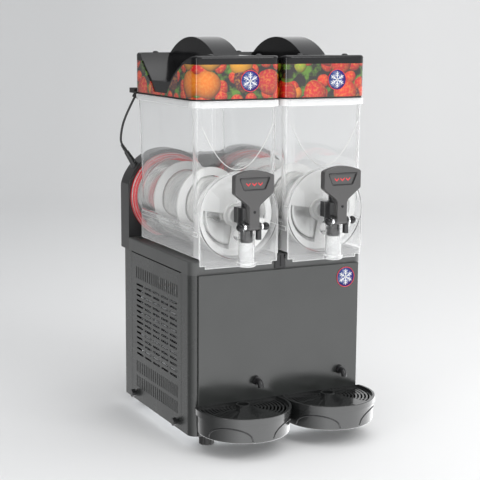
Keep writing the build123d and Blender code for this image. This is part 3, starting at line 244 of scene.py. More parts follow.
def painted_highlight_zones(tree, where):
    """Painted highlights of a bowl, as milky white zones: skirts under the drum, band at the rim, strips at
    the front corners.
    """
    low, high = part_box("left_bowl")
    drum_low, drum_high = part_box("left_evaporator")
    axis = (drum_low[2] + drum_high[2]) / 2
    half = (high[0] - low[0]) / 2
    split = tree.nodes.new("ShaderNodeSeparateXYZ")
    tree.links.new(where, split.inputs[0])
    x, y, z = split.outputs
    skirt = between(tree, z, SKIRT_HIGHLIGHT, 0.0, axis - SKIRT_FADE[0], axis - SKIRT_FADE[1])
    rim = between(tree, z, 0.0, RIM_HIGHLIGHT, high[2] - RIM_FADE[0], high[2] - RIM_FADE[1])
    middle = abs(low[0] + high[0]) / 2
    off_centre = math(tree, "ABSOLUTE", math(tree, "SUBTRACT", math(tree, "ABSOLUTE", x), middle))
    corner = between(tree, off_centre, 0.0, CORNER_HIGHLIGHT, half - CORNER_FADE[0], half - CORNER_FADE[1])
    front = between(tree, y, 1.0, 0.0, drum_low[1] - FRONT_FADE[0], drum_low[1] + FRONT_FADE[1])
    strips = math(tree, "MULTIPLY", corner, front)
    return math(tree, "ADD", math(tree, "ADD", skirt, rim), strips)


def clear_plastic():
    """Polycarbonate of the bowls: clear, with fine rub marks, and painted highlights as milky white edges and
    zones.
    """
    material, tree, shader = new_material("clear_plastic")
    where = position(tree)
    haze = noise(tree, where, 9.0, 6.0, 0.6)
    rubs = noise(tree, position(tree, (60, 60, 900)), 3.0, 2.0)
    both = math(tree, "MULTIPLY", haze, rubs)
    edges = edge_mask(tree, 0.0022)
    rubbed = between(tree, both, 0.01, 0.07, 0.15, 0.45)
    rough = math(tree, "ADD", rubbed, math(tree, "MULTIPLY", edges, 0.35))
    tree.links.new(rough, shader.inputs["Roughness"])
    tint = mix(tree, haze, (0.985, 0.992, 0.994), (1.0, 1.0, 1.0))
    tree.links.new(tint, shader.inputs["Base Color"])
    relief = add_node(tree, "ShaderNodeBump", Strength=0.04, Distance=0.0004, Height=noise(tree, where, 12.0))
    tree.links.new(relief.outputs["Normal"], shader.inputs["Normal"])
    # Painted highlights: the edges, and the zones added below, turn milky white where clear plastic would
    # catch the light; the haze is the plastic's own.
    painted_edge_highlight = math(tree, "MULTIPLY", edges, EDGE_HIGHLIGHT)
    haze_and_highlight = math(tree, "ADD", math(tree, "MULTIPLY", haze, HAZE_MILK), painted_edge_highlight)
    haze_and_highlight = math(tree, "MINIMUM", math(tree, "ADD", haze_and_highlight, painted_highlight_zones(tree, where)), MOST_HAZE_AND_HIGHLIGHT)
    tree.links.new(math(tree, "SUBTRACT", 1.0, haze_and_highlight), shader.inputs["Transmission Weight"])
    shader.inputs["IOR"].default_value = 1.42
    return material


def brushed_steel(name, colour, stretch, roughness=0.26):
    """Stainless steel with brush lines along the two short-stretched directions."""
    return surface(
        name, colour, roughness, metallic=1.0, spread=0.08, rough_spread=0.09, grain=6.0, bump=0.25,
        depth=0.00006, stretch=stretch, cloud=1.5,
    )


FRUIT_COLOURS = (
    (0.0, (0.70, 0.010, 0.015)),
    (0.30, (0.82, 0.03, 0.015)),
    (0.50, (0.90, 0.22, 0.008)),
    (0.64, (0.93, 0.42, 0.015)),
    (0.75, (0.62, 0.01, 0.02)),
    (0.85, (0.30, 0.42, 0.03)),
    (0.93, (0.10, 0.012, 0.03)),
)


def fruit_layer(tree, uv, scale, size, below, shift):
    """One layer of round fruit over the colour below: each cell is a lit ball of its own colour."""
    moved = add_node(tree, "ShaderNodeMapping", Vector=uv, Location=shift)
    wobble = add_node(tree, "ShaderNodeTexNoise", Vector=moved.outputs[0], Scale=26.0, Detail=1.0)
    offset = tree.nodes.new("ShaderNodeVectorMath")
    offset.operation = "MULTIPLY_ADD"
    tree.links.new(wobble.outputs["Color"], offset.inputs[0])
    offset.inputs[1].default_value = (0.010, 0.010, 0.0)
    tree.links.new(moved.outputs[0], offset.inputs[2])
    cells = tree.nodes.new("ShaderNodeTexVoronoi")
    cells.voronoi_dimensions = "2D"
    tree.links.new(offset.outputs[0], cells.inputs["Vector"])
    cells.inputs["Scale"].default_value = scale
    cells.inputs["Randomness"].default_value = 0.75
    split = tree.nodes.new("ShaderNodeSeparateColor")
    tree.links.new(cells.outputs["Color"], split.inputs[0])
    ramp = tree.nodes.new("ShaderNodeValToRGB")
    ramp.color_ramp.interpolation = "CONSTANT"
    for number, (start, colour) in enumerate(FRUIT_COLOURS):
        stop = ramp.color_ramp.elements[0] if number == 0 else ramp.color_ramp.elements.new(start)
        stop.position = start
        stop.color = (*colour, 1)
    tree.links.new(split.outputs[0], ramp.inputs[0])
    reach = math(tree, "DIVIDE", cells.outputs["Distance"], size)
    left_over = math(tree, "SUBTRACT", 1.0, math(tree, "POWER", reach, 2.0))
    dome = math(tree, "SQRT", math(tree, "MAXIMUM", left_over, 0.0))
    local = tree.nodes.new("ShaderNodeVectorMath")
    local.operation = "SUBTRACT"
    scaled_uv = tree.nodes.new("ShaderNodeVectorMath")
    scaled_uv.operation = "SCALE"
    tree.links.new(offset.outputs[0], scaled_uv.inputs[0])
    scaled_uv.inputs["Scale"].default_value = scale
    tree.links.new(scaled_uv.outputs[0], local.inputs[0])
    centre = tree.nodes.new("ShaderNodeVectorMath")
    centre.operation = "SCALE"
    tree.links.new(cells.outputs["Position"], centre.inputs[0])
    centre.inputs["Scale"].default_value = scale
    tree.links.new(centre.outputs[0], local.inputs[1])
    axes = tree.nodes.new("ShaderNodeSeparateXYZ")
    tree.links.new(local.outputs[0], axes.inputs[0])
    side = math(tree, "MULTIPLY", axes.outputs[0], -0.55)
    lit = math(tree, "ADD", math(tree, "MULTIPLY_ADD", axes.outputs[1], 0.8, side), dome)
    shade = between(tree, lit, 0.10, 1.15, 0.0, 1.5)
    streaks = noise(tree, moved.outputs[0], 180.0, 3.0)
    skin = mix(tree, between(tree, streaks, 0.0, 0.5, 0.45, 0.7), ramp.outputs[0], (0.95, 0.45, 0.05))
    ball = mix(tree, shade, (0.03, 0.005, 0.003), skin)
    shine = between(tree, lit, 0.0, 0.75, 1.32, 1.5)
    ball = mix(tree, shine, ball, (1.0, 0.86, 0.75))
    inside = between(tree, reach, 1.0, 0.0, 0.95, 1.0)
    return mix(tree, inside, below, ball)


def fruit_print():
    """Glossy printed skirt of the lids: mixed fruit heaped over dark leaves."""
    material, tree, shader = new_material("fruit_print")
    split = tree.nodes.new("ShaderNodeSeparateXYZ")
    tree.links.new(position(tree), split.inputs[0])
    along = math(tree, "ADD", split.outputs[0], split.outputs[1])
    uv = tree.nodes.new("ShaderNodeCombineXYZ")
    tree.links.new(along, uv.inputs[0])
    tree.links.new(split.outputs[2], uv.inputs[1])
    leaves = noise(tree, uv.outputs[0], 45.0, 3.0)
    ground = mix(tree, between(tree, leaves, 0.0, 1.0, 0.48, 0.64), (0.012, 0.008, 0.006), (0.10, 0.22, 0.02))
    heap = fruit_layer(tree, uv.outputs[0], 31.0, 0.44, ground, (0.013, 0.007, 0.0))
    heap = fruit_layer(tree, uv.outputs[0], 15.5, 0.43, heap, (0.0, 0.0, 0.0))
    tree.links.new(heap, shader.inputs["Base Color"])
    grain = noise(tree, position(tree), 500.0)
    tree.links.new(between(tree, grain, 0.12, 0.2), shader.inputs["Roughness"])
    shader.inputs["Coat Weight"].default_value = 0.6
    shader.inputs["Coat Roughness"].default_value = 0.05
    tree.links.new(heap, shader.inputs["Emission Color"])
    shader.inputs["Emission Strength"].default_value = 0.08
    return material


def make_materials():
    """Every material of the machine by name."""
    return {
        "powder_coat": surface(
            "powder_coat", (0.034, 0.036, 0.035), 0.28, spread=0.05, grain=1400, bump=0.35, depth=0.00005,
            wear=0.35, wear_colour=(0.16, 0.16, 0.16),
        ),
        "panel_coat": surface(
            "panel_coat", (0.030, 0.032, 0.031), 0.20, spread=0.03, grain=1400, bump=0.30, depth=0.00004,
            wear=0.35, wear_colour=(0.16, 0.16, 0.16),
        ),
        "galvanised": surface(
            "galvanised", (0.55, 0.56, 0.57), 0.42, metallic=1.0, spread=0.2, rough_spread=0.14, grain=300,
            cloud=70,
        ),
        "deck_plastic": surface(
            "deck_plastic", (0.075, 0.077, 0.076), 0.42, spread=0.08, grain=2200, bump=0.5, depth=0.00005,
            wear=0.3, wear_colour=(0.2, 0.2, 0.2),
        ),
        "tower_plastic": surface(
            "tower_plastic", (0.030, 0.031, 0.032), 0.38, spread=0.12, grain=2000, bump=0.4, depth=0.00005,
            wear=0.3, wear_colour=(0.12, 0.12, 0.12),
        ),
        "handle_plastic": surface(
            "handle_plastic", (0.072, 0.070, 0.070), 0.40, spread=0.08, grain=2600, bump=0.4, depth=0.00004,
            wear=0.4, wear_colour=(0.2, 0.2, 0.2),
        ),
        "black_plastic": surface(
            "black_plastic", (0.014, 0.014, 0.015), 0.30, spread=0.15, grain=2400, bump=0.3, depth=0.00003,
            wear=0.3, wear_colour=(0.08, 0.08, 0.08),
        ),
        "gloss_black": surface(
            "gloss_black", (0.009, 0.009, 0.010), 0.16, spread=0.15, rough_spread=0.05, grain=500, bump=0.06,
            depth=0.00003, wear=0.3, wear_colour=(0.07, 0.07, 0.07), coat=0.15, specular=0.25,
        ),
        "tray_black": surface(
            "tray_black", (0.018, 0.019, 0.019), 0.22, spread=0.08, rough_spread=0.05, grain=700, bump=0.06,
            depth=0.00003, wear=0.4, wear_colour=(0.12, 0.12, 0.12), coat=0.5,
        ),
        "clear": clear_plastic(),
        "fruit": fruit_print(),
        "white": surface(
            "white_plastic", (0.84, 0.84, 0.83), 0.34, spread=0.03, grain=900, bump=0.1, depth=0.00003,
            wear=0.3, wear_colour=(0.70, 0.69, 0.66),
        ),
        "red_rubber": surface(
            "red_rubber", (0.95, 0.006, 0.020), 0.42, spread=0.15, grain=700, bump=0.3, depth=0.00006,
        ),
        "rubber": surface(
            "black_rubber", (0.016, 0.016, 0.016), 0.62, spread=0.25, grain=900, bump=0.5, depth=0.00008,
        ),
        "lead": surface(
            "lead_jacket", (0.010, 0.010, 0.011), 0.40, spread=0.2, grain=1200, bump=0.3, depth=0.00004,
        ),
        "drum_steel": brushed_steel("drum_steel", (0.74, 0.74, 0.73), (2, 160, 2)),
        "chrome": surface(
            "chrome", (0.80, 0.80, 0.81), 0.08, metallic=1.0, spread=0.03, rough_spread=0.04, grain=400,
            bump=0.03, depth=0.00002,
        ),
        "fins": brushed_steel("fin_aluminium", (0.88, 0.89, 0.90), (2, 2, 160), 0.4),
        "cast_black": surface(
            "cast_black", (0.018, 0.018, 0.02), 0.5, spread=0.3, grain=500, bump=0.6, depth=0.00012,
        ),
        "copper": surface(
            "copper", (0.72, 0.33, 0.20), 0.30, metallic=1.0, spread=0.2, rough_spread=0.12, grain=300,
        ),
        "badge_blue": surface(
            "badge_blue", (0.012, 0.045, 0.24), 0.15, spread=0.2, grain=500, bump=0.04, depth=0.00002,
            coat=0.6,
        ),
        "legend_red": surface(
            "legend_red", (0.78, 0.05, 0.06), 0.4, spread=0.06, grain=900, bump=0.1, depth=0.00003,
        ),
        "legend_white": surface(
            "legend_white", (0.80, 0.81, 0.82), 0.35, spread=0.05, grain=900, bump=0.1, depth=0.00003,
        ),
    }


MATERIALS = make_materials()

NODE_MATERIALS = {
    "base_pan": "galvanised",
    "feet": "rubber",
    "left_column": "powder_coat",
    "right_column": "powder_coat",
    "rear_posts": "powder_coat",
    "left_louvre_panel": "powder_coat",
    "right_louvre_panel": "powder_coat",
    "thumbscrews": "black_plastic",
    "front_panel": "panel_coat",
    "rear_panel": "powder_coat",
    "mains_inlet": "black_plastic",
    "deck": "deck_plastic",
    "centre_cap": "gloss_black",
    "tower_front_cover": "tower_plastic",
    "tower_rear_cover": "tower_plastic",
    "lead_sockets": "black_plastic",
    "control_plate": "galvanised",
    "compressor": "cast_black",
    "condenser": "fins",
    "fan_motor": "galvanised",
    "fan": "black_plastic",
    "drain_elbow": "black_plastic",
    "drip_tray": "tray_black",
    "tray_grate": "tray_black",
    "gasket": "red_rubber",
    "evaporator": "drum_steel",
    "drive_shaft": "chrome",
    "gearmotor": "galvanised",
    "auger": "white",
    "bowl": "clear",
    "tap_bracket": "black_plastic",
    "tap_pin": "chrome",
    "plunger": "black_plastic",
    "tap_handle": "handle_plastic",
    "lid_cover": "gloss_black",
    "lid_print": "fruit",
    "lid_base": "rubber",
    "lid_plug": "lead",
    "lid_lead": "lead",
    "switch": "gloss_black",
    "dial": "handle_plastic",
}


def plain_name(node):
    """A node's name without the words that tell it from its twin."""
    if node in NODE_MATERIALS:
        return node
    for ending in NODE_MATERIALS:
        if node.endswith("_" + ending):
            return ending
    return node


def dress_cad():
    """Gives each CAD node its material; the clear bowls let the light through to the drums."""
    for name, item in cad.items():
        item.data.materials.clear()
        item.data.materials.append(MATERIALS[NODE_MATERIALS[plain_name(name)]])
        if plain_name(name) == "bowl":
            item.visible_shadow = False


dress_cad()
lead.data.materials.append(MATERIALS["lead"])

# ---------------------------------------------------------------- pieces in mesh code


def mesh_object(name, mesh):
    """The scene's object for a finished bmesh."""
    data = bpy.data.meshes.new(name)
    bmesh.ops.recalc_face_normals(mesh, faces=mesh.faces)
    mesh.to_mesh(data)
    mesh.free()
    item = bpy.data.objects.new(name, data)
    bpy.context.scene.collection.objects.link(item)
    return item


def piece(name, mesh, body, material, smooth=True):
    """A finished bmesh as a piece of the machine, riding on a body."""
    item = mesh_object(name, mesh)
    for face in item.data.polygons:
        face.use_smooth = smooth
    item.data.materials.append(MATERIALS[material])
    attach(item, body)
    return item


def lathe(mesh, profile, place, axis, steps=32):
    """Turns a profile of (radius, height) points round an axis through place."""
    turn = Vector((0, 0, 1)).rotation_difference(Vector(axis)).to_matrix().to_4x4()
    to_place = Matrix.Translation(place) @ turn
    rings = []
    for radius, height in profile:
        if radius < 1e-6:
            rings.append([mesh.verts.new(to_place @ Vector((0, 0, height)))])
            continue
        ring = []
        for step in range(steps):
            angle = 2 * pi * step / steps
            ring.append(mesh.verts.new(to_place @ Vector((radius * cos(angle), radius * sin(angle), height))))
        rings.append(ring)
    for low, high in zip(rings, rings[1:]):
        for step in range(steps):
            following = (step + 1) % steps
            if len(low) == 1:
                mesh.faces.new((low[0], high[step], high[following]))
            elif len(high) == 1:
                mesh.faces.new((low[step], low[following], high[0]))
            else:
                mesh.faces.new((low[step], low[following], high[following], high[step]))


def dome_profile(radius, height, foot=0.0, steps=6):
    """Profile of a low dome on a straight foot, closed underneath."""
    points = [(0, 0), (radius, 0), (radius, foot)]
    for step in range(1, steps):
        angle = pi / 2 * step / steps
        points.append((radius * cos(angle), foot + height * sin(angle)))
    return points + [(0, foot + height)]


def slab(mesh, outline, origin, across, up, thick):
    """A flat plate: an outline of (across, up) points at origin, thickened along their normal."""
    across, up, origin = Vector(across), Vector(up), Vector(origin)
    out = across.cross(up) * thick
    back = [mesh.verts.new(origin + across * u + up * w) for u, w in outline]
    front = [mesh.verts.new(vert.co + out) for vert in back]
    mesh.faces.new(front)
    mesh.faces.new(back[::-1])
    for number in range(len(outline)):
        following = (number + 1) % len(outline)
        mesh.faces.new((back[number], back[following], front[following], front[number]))


def tube(mesh, points, radius, closed=False, sides=10):
    """A round bead along a list of points."""
    rings = []
    count = len(points)
    for number, point in enumerate(points):
        before = points[number - 1] if closed or number else point
        after = points[(number + 1) % count] if closed or number < count - 1 else point
        turn = (after - before).to_track_quat("Z", "Y").to_matrix()
        rings.append([
            mesh.verts.new(
                point + turn @ Vector((radius * cos(2 * pi * k / sides), radius * sin(2 * pi * k / sides), 0))
            )
            for k in range(sides)
        ])
    pairs = list(zip(rings, rings[1:])) + ([(rings[-1], rings[0])] if closed else [])
    for low, high in pairs:
        for k in range(sides):
            following = (k + 1) % sides
            mesh.faces.new((low[k], low[following], high[following], high[k]))
    if not closed:
        mesh.faces.new(rings[0][::-1])
        mesh.faces.new(rings[-1])


FRONT = ((1, 0, 0), (0, 0, 1))
REAR = ((-1, 0, 0), (0, 0, 1))


def middle_x(node):
    """The middle of a node across the machine."""
    low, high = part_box(node)
    return (low[0] + high[0]) / 2


# ---------------------------------------------------------------- badges
BADGE_RADIUS = 0.022
BADGE_THICK = 0.0012


def badge(name, place, body):
    """Round blue badge with a red rim and a plain six-armed snowflake."""
    toward = Vector((0, -1, 0))
    disc = bmesh.new()
    inner = BADGE_RADIUS * 0.93
    lathe(disc, [(0, 0), (inner, 0), (inner, BADGE_THICK * 0.7), (0, BADGE_THICK)],
          place, toward, 48)
    piece(f"{name}_field", disc, body, "badge_blue")
    rim = bmesh.new()
    rim_points = [
        Vector(place) + Vector(
            (BADGE_RADIUS * 0.95 * cos(a), -BADGE_THICK * 0.6, BADGE_RADIUS * 0.95 * sin(a))
        )
        for a in (2 * pi * k / 48 for k in range(48))
    ]
    tube(rim, rim_points, BADGE_THICK * 0.62, closed=True)
    piece(f"{name}_rim", rim, body, "legend_red")
    flake = bmesh.new()
    start = Vector(place) + toward * BADGE_THICK * 0.8
    for arm in range(6):
        turn = Matrix.Rotation(pi / 3 * arm, 3, "Y")
        across, up = turn @ Vector((1, 0, 0)), turn @ Vector((0, 0, 1))
        slab(flake, [(-0.0009, 0), (0.0009, 0), (0.0009, 0.016), (0, 0.0172), (-0.0009, 0.016)],
             start, across, up, 0.0006)
        for side in (-1, 1):
            for along in (0.0062, 0.0105):
                tip = (side * 0.0042, along + 0.0042)
                outline = [(0, along - 0.0011), (tip[0], tip[1] - 0.0011), tip, (0, along + 0.0011)]
                slab(flake, outline if side > 0 else outline[::-1], start, across, up, 0.00055)
    piece(f"{name}_flake", flake, body, "legend_white", smooth=False)


def add_badges():
    """One badge at the front panel's upper right, and one on the front of each lid."""
    low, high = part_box("front_panel")
    badge("panel_badge", (high[0] - 0.032, low[1], high[2] - 0.0285), "base")
    for side in SIDES:
        print_low, print_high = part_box(f"{side}_lid_print")
        print_middle = (print_low[2] + print_high[2]) / 2
        place = (middle_x(f"{side}_lid_print") + 0.025, print_low[1], print_middle + 0.001)
        badge(f"{side}_lid_badge", place, f"{side}_lid")


# ---------------------------------------------------------------- tap details
CHEVRON_PITCH = 0.0105
KNOB_RADIUS = 0.0079


def add_tap_details(side):
    """Pull marks, a black bead of painted shade round the recess, and a screw on the handle; ball knobs on
    the pin, rings on the plunger.
    """
    low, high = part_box(f"{side}_tap_handle")
    centre = middle_x(f"{side}_tap_handle")
    face_y = low[1]
    recess_z = high[2] - 0.0265
    marks = bmesh.new()
    for number in (-1, 0, 1):
        u = number * CHEVRON_PITCH * 1.25
        outline = [
            (u - 0.0048, 0.0032), (u, -0.0012), (u + 0.0048, 0.0032), (u + 0.0048, 0.0006), (u, -0.0040),
            (u - 0.0048, 0.0006),
        ]
        slab(marks, outline[::-1], (centre, face_y + 0.0026, recess_z), *FRONT, 0.0005)
    piece(f"{side}_pull_marks", marks, f"{side}_handle", "legend_red", smooth=False)
    # Painted shade: a black bead just inside the recess's edge stands in for the shadow along its sides.
    shade_bead = bmesh.new()
    corners = [(-0.0235, -0.0120), (0.0235, -0.0120), (0.0335, 0.0118), (-0.0335, 0.0118)]
    points = []
    for (u0, w0), (u1, w1) in zip(corners, corners[1:] + corners[:1]):
        for step in range(8):
            t = 0.06 + 0.88 * step / 7
            across, rise = u0 + (u1 - u0) * t, w0 + (w1 - w0) * t
            points.append(Vector((centre + across, face_y + 0.0010, recess_z + rise)))
    tube(shade_bead, points, 0.0015, closed=True, sides=8)
    piece(f"{side}_recess_shadow", shade_bead, f"{side}_handle", "black_plastic")
    screw = bmesh.new()
    screw_profile = [
        (0, 0), (0.0028, 0), (0.0028, 0.0006), (0.0022, 0.0012), (0.0012, 0.0012), (0.0010, 0.0004),
        (0, 0.0004),
    ]
    lathe(screw, screw_profile,
          (centre, face_y, high[2] - 0.082), (0, -1, 0), 24)
    piece(f"{side}_handle_screw", screw, f"{side}_handle", "gloss_black")
    pin_low, pin_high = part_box(f"{side}_tap_pin")
    pin_y, pin_z = (pin_low[1] + pin_high[1]) / 2, (pin_low[2] + pin_high[2]) / 2
    for end, x in (("inner", pin_low[0] + 0.0075), ("outer", pin_high[0] - 0.0075)):
        knob = bmesh.new()
        profile = []
        for step in range(15):
            angle = -pi / 2 + pi * step / 14
            profile.append((KNOB_RADIUS * cos(angle), KNOB_RADIUS * sin(angle)))
        lathe(knob, profile, (x, pin_y, pin_z), (1, 0, 0), 32)
        piece(f"{side}_{end}_ball_knob", knob, f"{side}_bowl", "gloss_black")
    rod_low, rod_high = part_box(f"{side}_plunger")
    rod_y = (rod_low[1] + rod_high[1]) / 2
    for number, drop in enumerate((0.006, 0.016)):
        ring = bmesh.new()
        points = [
            Vector((centre + 0.01325 * cos(a), rod_y + 0.01325 * sin(a), rod_low[2] + drop))
            for a in (2 * pi * k / 36 for k in range(36))
        ]
        tube(ring, points, 0.0009, closed=True, sides=8)
        piece(f"{side}_plunger_ring_{number + 1}", ring, f"{side}_plunger", "rubber")


# Place and size of the painted highlight bead along each bowl's front fold.
CREASE_BACK = 0.0035
CREASE_DROP = 0.048
CREASE_HALF = 0.080
CREASE_DEPTH = 0.090
RIB_COUNT, RIB_PITCH, RIB_RADIUS, RIB_TAPER = 4, 0.003, 0.0034, 0.0002


def add_crease_highlight(side):
    """White bead along the curved fold of the bowl's front: a painted highlight where the fold catches the
    light.
    """
    centre = middle_x(f"{side}_bowl")
    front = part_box("front_panel")[0][1] + CREASE_BACK
    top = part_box(f"{side}_bowl")[1][2] - CREASE_DROP
    bead = bmesh.new()
    points = []
    for step in range(41):
        u = -1 + step / 20
        points.append(Vector((centre + CREASE_HALF * u, front, top - CREASE_DEPTH * (1 - u * u))))
    tube(bead, points, 0.0008, sides=8)
    piece(f"{side}_front_crease_highlight", bead, f"{side}_bowl", "white")


def add_strain_relief():
    """Moulded ribs where the lead enters its plug."""
    sleeve = bmesh.new()
    entry, end = Vector(LEAD_ROUTE[-2]), Vector(LEAD_ROUTE[-1])
    along = (end - entry).normalized()
    across = along.cross(Vector((0, 1, 0))).normalized()
    other = along.cross(across)
    for number in range(RIB_COUNT):
        middle = end - along * (RIB_PITCH / 2 + RIB_PITCH * number)
        points = [
            middle + (across * cos(a) + other * sin(a)) * (RIB_RADIUS - RIB_TAPER * number)
            for a in (2 * pi * k / 28 for k in range(28))
        ]
        tube(sleeve, points, 0.0009, closed=True, sides=8)
    piece("left_lead_ribs", sleeve, "left_lid", "rubber")


# ---------------------------------------------------------------- lid, tray and panel details


def add_lid_caps(side):
    """Four low screw caps on the lid's top, two beside the front of the web and two beside its back."""
    low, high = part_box(f"{side}_lid_cover")
    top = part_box(f"{side}_lid_print")[1][2] + 0.017
    centre = middle_x(f"{side}_lid_cover")
    for number, (u, y) in enumerate(((-0.053, low[1] + 0.018), (0.053, low[1] + 0.018),
                                     (-0.053, high[1] - 0.018), (0.053, high[1] - 0.018))):
        cap = bmesh.new()
        lathe(cap, dome_profile(0.0062, 0.0028, 0.0006), (centre + u, y, top - 0.0004), (0, 0, 1), 28)
        piece(f"{side}_lid_cap_{number + 1}", cap, f"{side}_lid", "gloss_black")


TRAY_ARCH_MIDDLE = radians(43)
TRAY_ARCH_HALF = radians(29)
TRAY_ARCH_TOP = 0.030
TRAY_ARCH_FOOT = 0.005


def add_tray_arches(side):
    """Two moulded arches round the foot of the tray, one each side of its front."""
    low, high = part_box(f"{side}_drip_tray")
    centre = middle_x(f"{side}_drip_tray")
    radius = (high[0] - low[0]) / 2
    centre_y = low[1] + radius
    wall = radius - 0.0025
    for name, sign in (("inner", -1), ("outer", 1)):
        points = []
        for step in range(25):
            t = step / 12 - 1
            angle = sign * (TRAY_ARCH_MIDDLE + TRAY_ARCH_HALF * t)
            z = low[2] + TRAY_ARCH_FOOT + (TRAY_ARCH_TOP - TRAY_ARCH_FOOT) * (1 - t * t) ** 0.5
            reach = wall - (high[2] - z) * 0.0349
            points.append(Vector((centre + reach * sin(angle), centre_y - reach * cos(angle), z)))
        bead = bmesh.new()
        tube(bead, points, 0.0016)
        piece(f"{side}_tray_{name}_arch", bead, f"{side}_tray", "black_plastic")


def pan_screw(mesh, place, axis, radius=0.0035):
    """A pan-head screw with a sunk middle."""
    lathe(mesh, [(0, 0), (radius, 0), (radius, 0.0008), (radius * 0.8, 0.0018), (radius * 0.35, 0.002),
                 (radius * 0.3, 0.001), (0, 0.001)], place, axis, 20)


def add_screws():
    """Screws of the rear panel, the tower's rear cover and the control plate."""
    low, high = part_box("rear_panel")
    screws = bmesh.new()
    for x in (low[0] + 0.008, high[0] - 0.008):
        for z in (low[2] + 0.012, (low[2] + high[2]) / 2, high[2] - 0.012):
            pan_screw(screws, (x, high[1], z), (0, 1, 0))
    low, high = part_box("tower_rear_cover")
    for x in (low[0] + 0.014, 0.0, high[0] - 0.014):
        for z in (high[2] - 0.205, high[2] - 0.135):
            pan_screw(screws, (x, high[1], z), (0, 1, 0))
    low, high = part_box("control_plate")
    for x in (low[0] + 0.007, high[0] - 0.007):
        for z in (low[2] + 0.008, high[2] - 0.008):
            pan_screw(screws, (x, high[1], z), (0, 1, 0), 0.0028)
    piece("rear_screws", screws, "base", "chrome")


def add_control_marks():
    """White strokes and rings on the rockers, and a pointer on each dial."""
    for name in ("power", "left_auger", "right_auger"):
        low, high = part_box(f"{name}_switch")
        centre = middle_x(f"{name}_switch")
        marks = bmesh.new()
        slab(marks, [(-0.0006, -0.0022), (0.0006, -0.0022), (0.0006, 0.0022), (-0.0006, 0.0022)],
             (centre, high[1], high[2] - 0.0055), *REAR, 0.0003)
        ring = [Vector((centre + 0.002 * cos(a), high[1] + 0.0001, low[2] + 0.0055 + 0.002 * sin(a)))
                for a in (2 * pi * k / 20 for k in range(20))]
        tube(marks, ring, 0.0005, closed=True, sides=6)
        piece(f"{name}_switch_marks", marks, f"{name}_switch", "legend_white", smooth=False)
    for name in ("left_chill", "right_chill"):
        low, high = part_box(f"{name}_dial")
        centre = middle_x(f"{name}_dial")
        pointer = bmesh.new()
        slab(pointer, [(-0.0007, 0.003), (0.0007, 0.003), (0.0007, 0.0096), (-0.0007, 0.0096)],
             (centre, high[1], (low[2] + high[2]) / 2), *REAR, 0.0004)
        piece(f"{name}_pointer", pointer, f"{name}_dial", "legend_white", smooth=False)


def add_condenser_bends():
    """Copper return bends at the condenser's two ends, and the pipe from it to the compressor."""
    low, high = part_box("condenser")
    x = (low[0] + high[0]) / 2
    bends = bmesh.new()
    rows = 6
    pitch = (high[2] - low[2] - 0.03) / rows
    for y, sign in ((low[1], -1), (high[1], 1)):
        for row in range(rows - 1):
            if (row % 2 == 0) == (sign > 0):
                continue
            z = low[2] + 0.03 + pitch * row
            points = [Vector((x, y + sign * 0.5 * pitch * sin(a), z + pitch / 2 - 0.5 * pitch * cos(a)))
                      for a in (pi * k / 12 for k in range(13))]
            tube(bends, points, 0.004)
    piece("condenser_bends", bends, "base", "copper")
    low_can, high_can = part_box("compressor")
    pipe = bmesh.new()
    start = Vector((x, high[1] + 0.004, high[2] - 0.02))
    stop = Vector((low_can[0] + 0.03, (low_can[1] + high_can[1]) / 2 + 0.02, high_can[2] - 0.004))
    rise = Vector((0, 0, 0.05))
    points = []
    for step in range(25):
        t = step / 24
        points.append(start * (1 - t) ** 3 + 3 * (start + rise) * t * (1 - t) ** 2
                      + 3 * (stop + rise * 1.4) * t * t * (1 - t) + stop * t ** 3)
    tube(pipe, points, 0.0032)
    piece("suction_pipe", pipe, "base", "copper")


add_badges()
add_strain_relief()
for side in SIDES:
    add_tap_details(side)
    add_crease_highlight(side)
    add_lid_caps(side)
    add_tray_arches(side)
add_screws()
add_control_marks()
add_condenser_bends()

# ---------------------------------------------------------------- studio
# FLOOR_LEFT and FLOOR_RIGHT: painted shade, the floor darker at the left and lighter towards the right.
FLOOR_LEFT = (0.70, 0.705, 0.71)
FLOOR_RIGHT = (0.90, 0.90, 0.90)
FLOOR_FADE = 1.0
BACKDROP_BACK = 3.2
BACKDROP_BEND = 1.6
BACKDROP_HALF = 20.0
BACKDROP_FRONT = 30.0
WORLD_STRENGTH = 1.10
BELOW_GAIN = 3.0
LEFT_GAIN = 0.12


def floor_paper():
    """Matt paper with a faint tooth, and painted shade: darker at the left, lighter towards the right."""
    material, tree, shader = new_material("backdrop")
    split = tree.nodes.new("ShaderNodeSeparateXYZ")
    tree.links.new(position(tree), split.inputs[0])
    side = between(tree, split.outputs[0], 0.0, 1.0, -FLOOR_FADE, FLOOR_FADE)
    tree.links.new(mix(tree, side, FLOOR_LEFT, FLOOR_RIGHT), shader.inputs["Base Color"])
    tree.links.new(between(tree, noise(tree, position(tree), 40.0), 0.86, 0.94), shader.inputs["Roughness"])
    return material


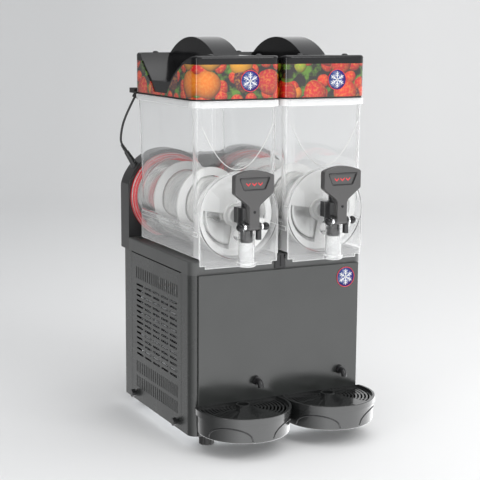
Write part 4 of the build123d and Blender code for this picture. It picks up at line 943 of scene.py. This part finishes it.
def make_backdrop():
    """Pale seamless floor that curves up behind the machine."""
    profile = [(-BACKDROP_FRONT, 0.0)]
    for step in range(13):
        angle = pi / 2 * step / 12
        profile.append((BACKDROP_BACK + BACKDROP_BEND * sin(angle), BACKDROP_BEND * (1 - cos(angle))))
    profile.append((BACKDROP_BACK + BACKDROP_BEND, 7.0))
    mesh = bmesh.new()
    rows = [[mesh.verts.new((x, y, z)) for y, z in profile] for x in (-BACKDROP_HALF, BACKDROP_HALF)]
    for near, far, next_near, next_far in zip(rows[0], rows[1], rows[0][1:], rows[1][1:]):
        face = mesh.faces.new((near, far, next_far, next_near))
        face.smooth = True
    backdrop = mesh_object("backdrop", mesh)
    backdrop.rotation_euler.z = CAMERA_HEADING
    backdrop.visible_glossy = False
    backdrop.data.materials.append(floor_paper())


def add_light(name, place, target, size, power, height):
    """A soft box at place that faces target."""
    data = bpy.data.lights.new(name, "AREA")
    data.shape = "RECTANGLE"
    data.size = size
    data.size_y = height
    data.energy = power
    light = bpy.data.objects.new(name, data)
    bpy.context.scene.collection.objects.link(light)
    light.location = place
    aim = Vector(target) - Vector(place)
    light.rotation_euler = aim.to_track_quat("-Z", "Y").to_euler()


def studio_world():
    """Surroundings: brighter below the horizon and dimmer at the left rear."""
    world = bpy.data.worlds.new("studio")
    world.use_nodes = True
    tree = world.node_tree
    shader = tree.nodes["Background"]
    shader.inputs["Color"].default_value = (0.86, 0.865, 0.87, 1)
    split = tree.nodes.new("ShaderNodeSeparateXYZ")
    tree.links.new(tree.nodes.new("ShaderNodeTexCoord").outputs["Generated"], split.inputs[0])
    right, back, up = split.outputs
    below = between(tree, up, BELOW_GAIN, 1.0, -0.2, 0.0)
    rear_left = math(tree, "MULTIPLY_ADD", right, -0.85, math(tree, "MULTIPLY", back, 0.5))
    dim = between(tree, rear_left, 1.0, LEFT_GAIN, 0.0, 0.9)
    strength = math(tree, "MULTIPLY", below, dim)
    tree.links.new(math(tree, "MULTIPLY", strength, WORLD_STRENGTH), shader.inputs["Strength"])
    bpy.context.scene.world = world


def light_studio():
    """The surroundings, a high front soft box, a strip on the left for the corners, and a top box."""
    studio_world()
    middle = (0, 0, 0.45)
    add_light("front", (0.9, -2.5, 2.5), middle, 1.6, 32, 1.6)
    add_light("strip", (-2.3, -1.15, 0.9), middle, 0.35, 9, 1.8)
    add_light("top", (0.2, -0.2, 2.9), middle, 2.2, 22, 2.2)
    bpy.context.scene.view_settings.view_transform = "Standard"


make_backdrop()
light_studio()

bpy.context.view_layer.update()
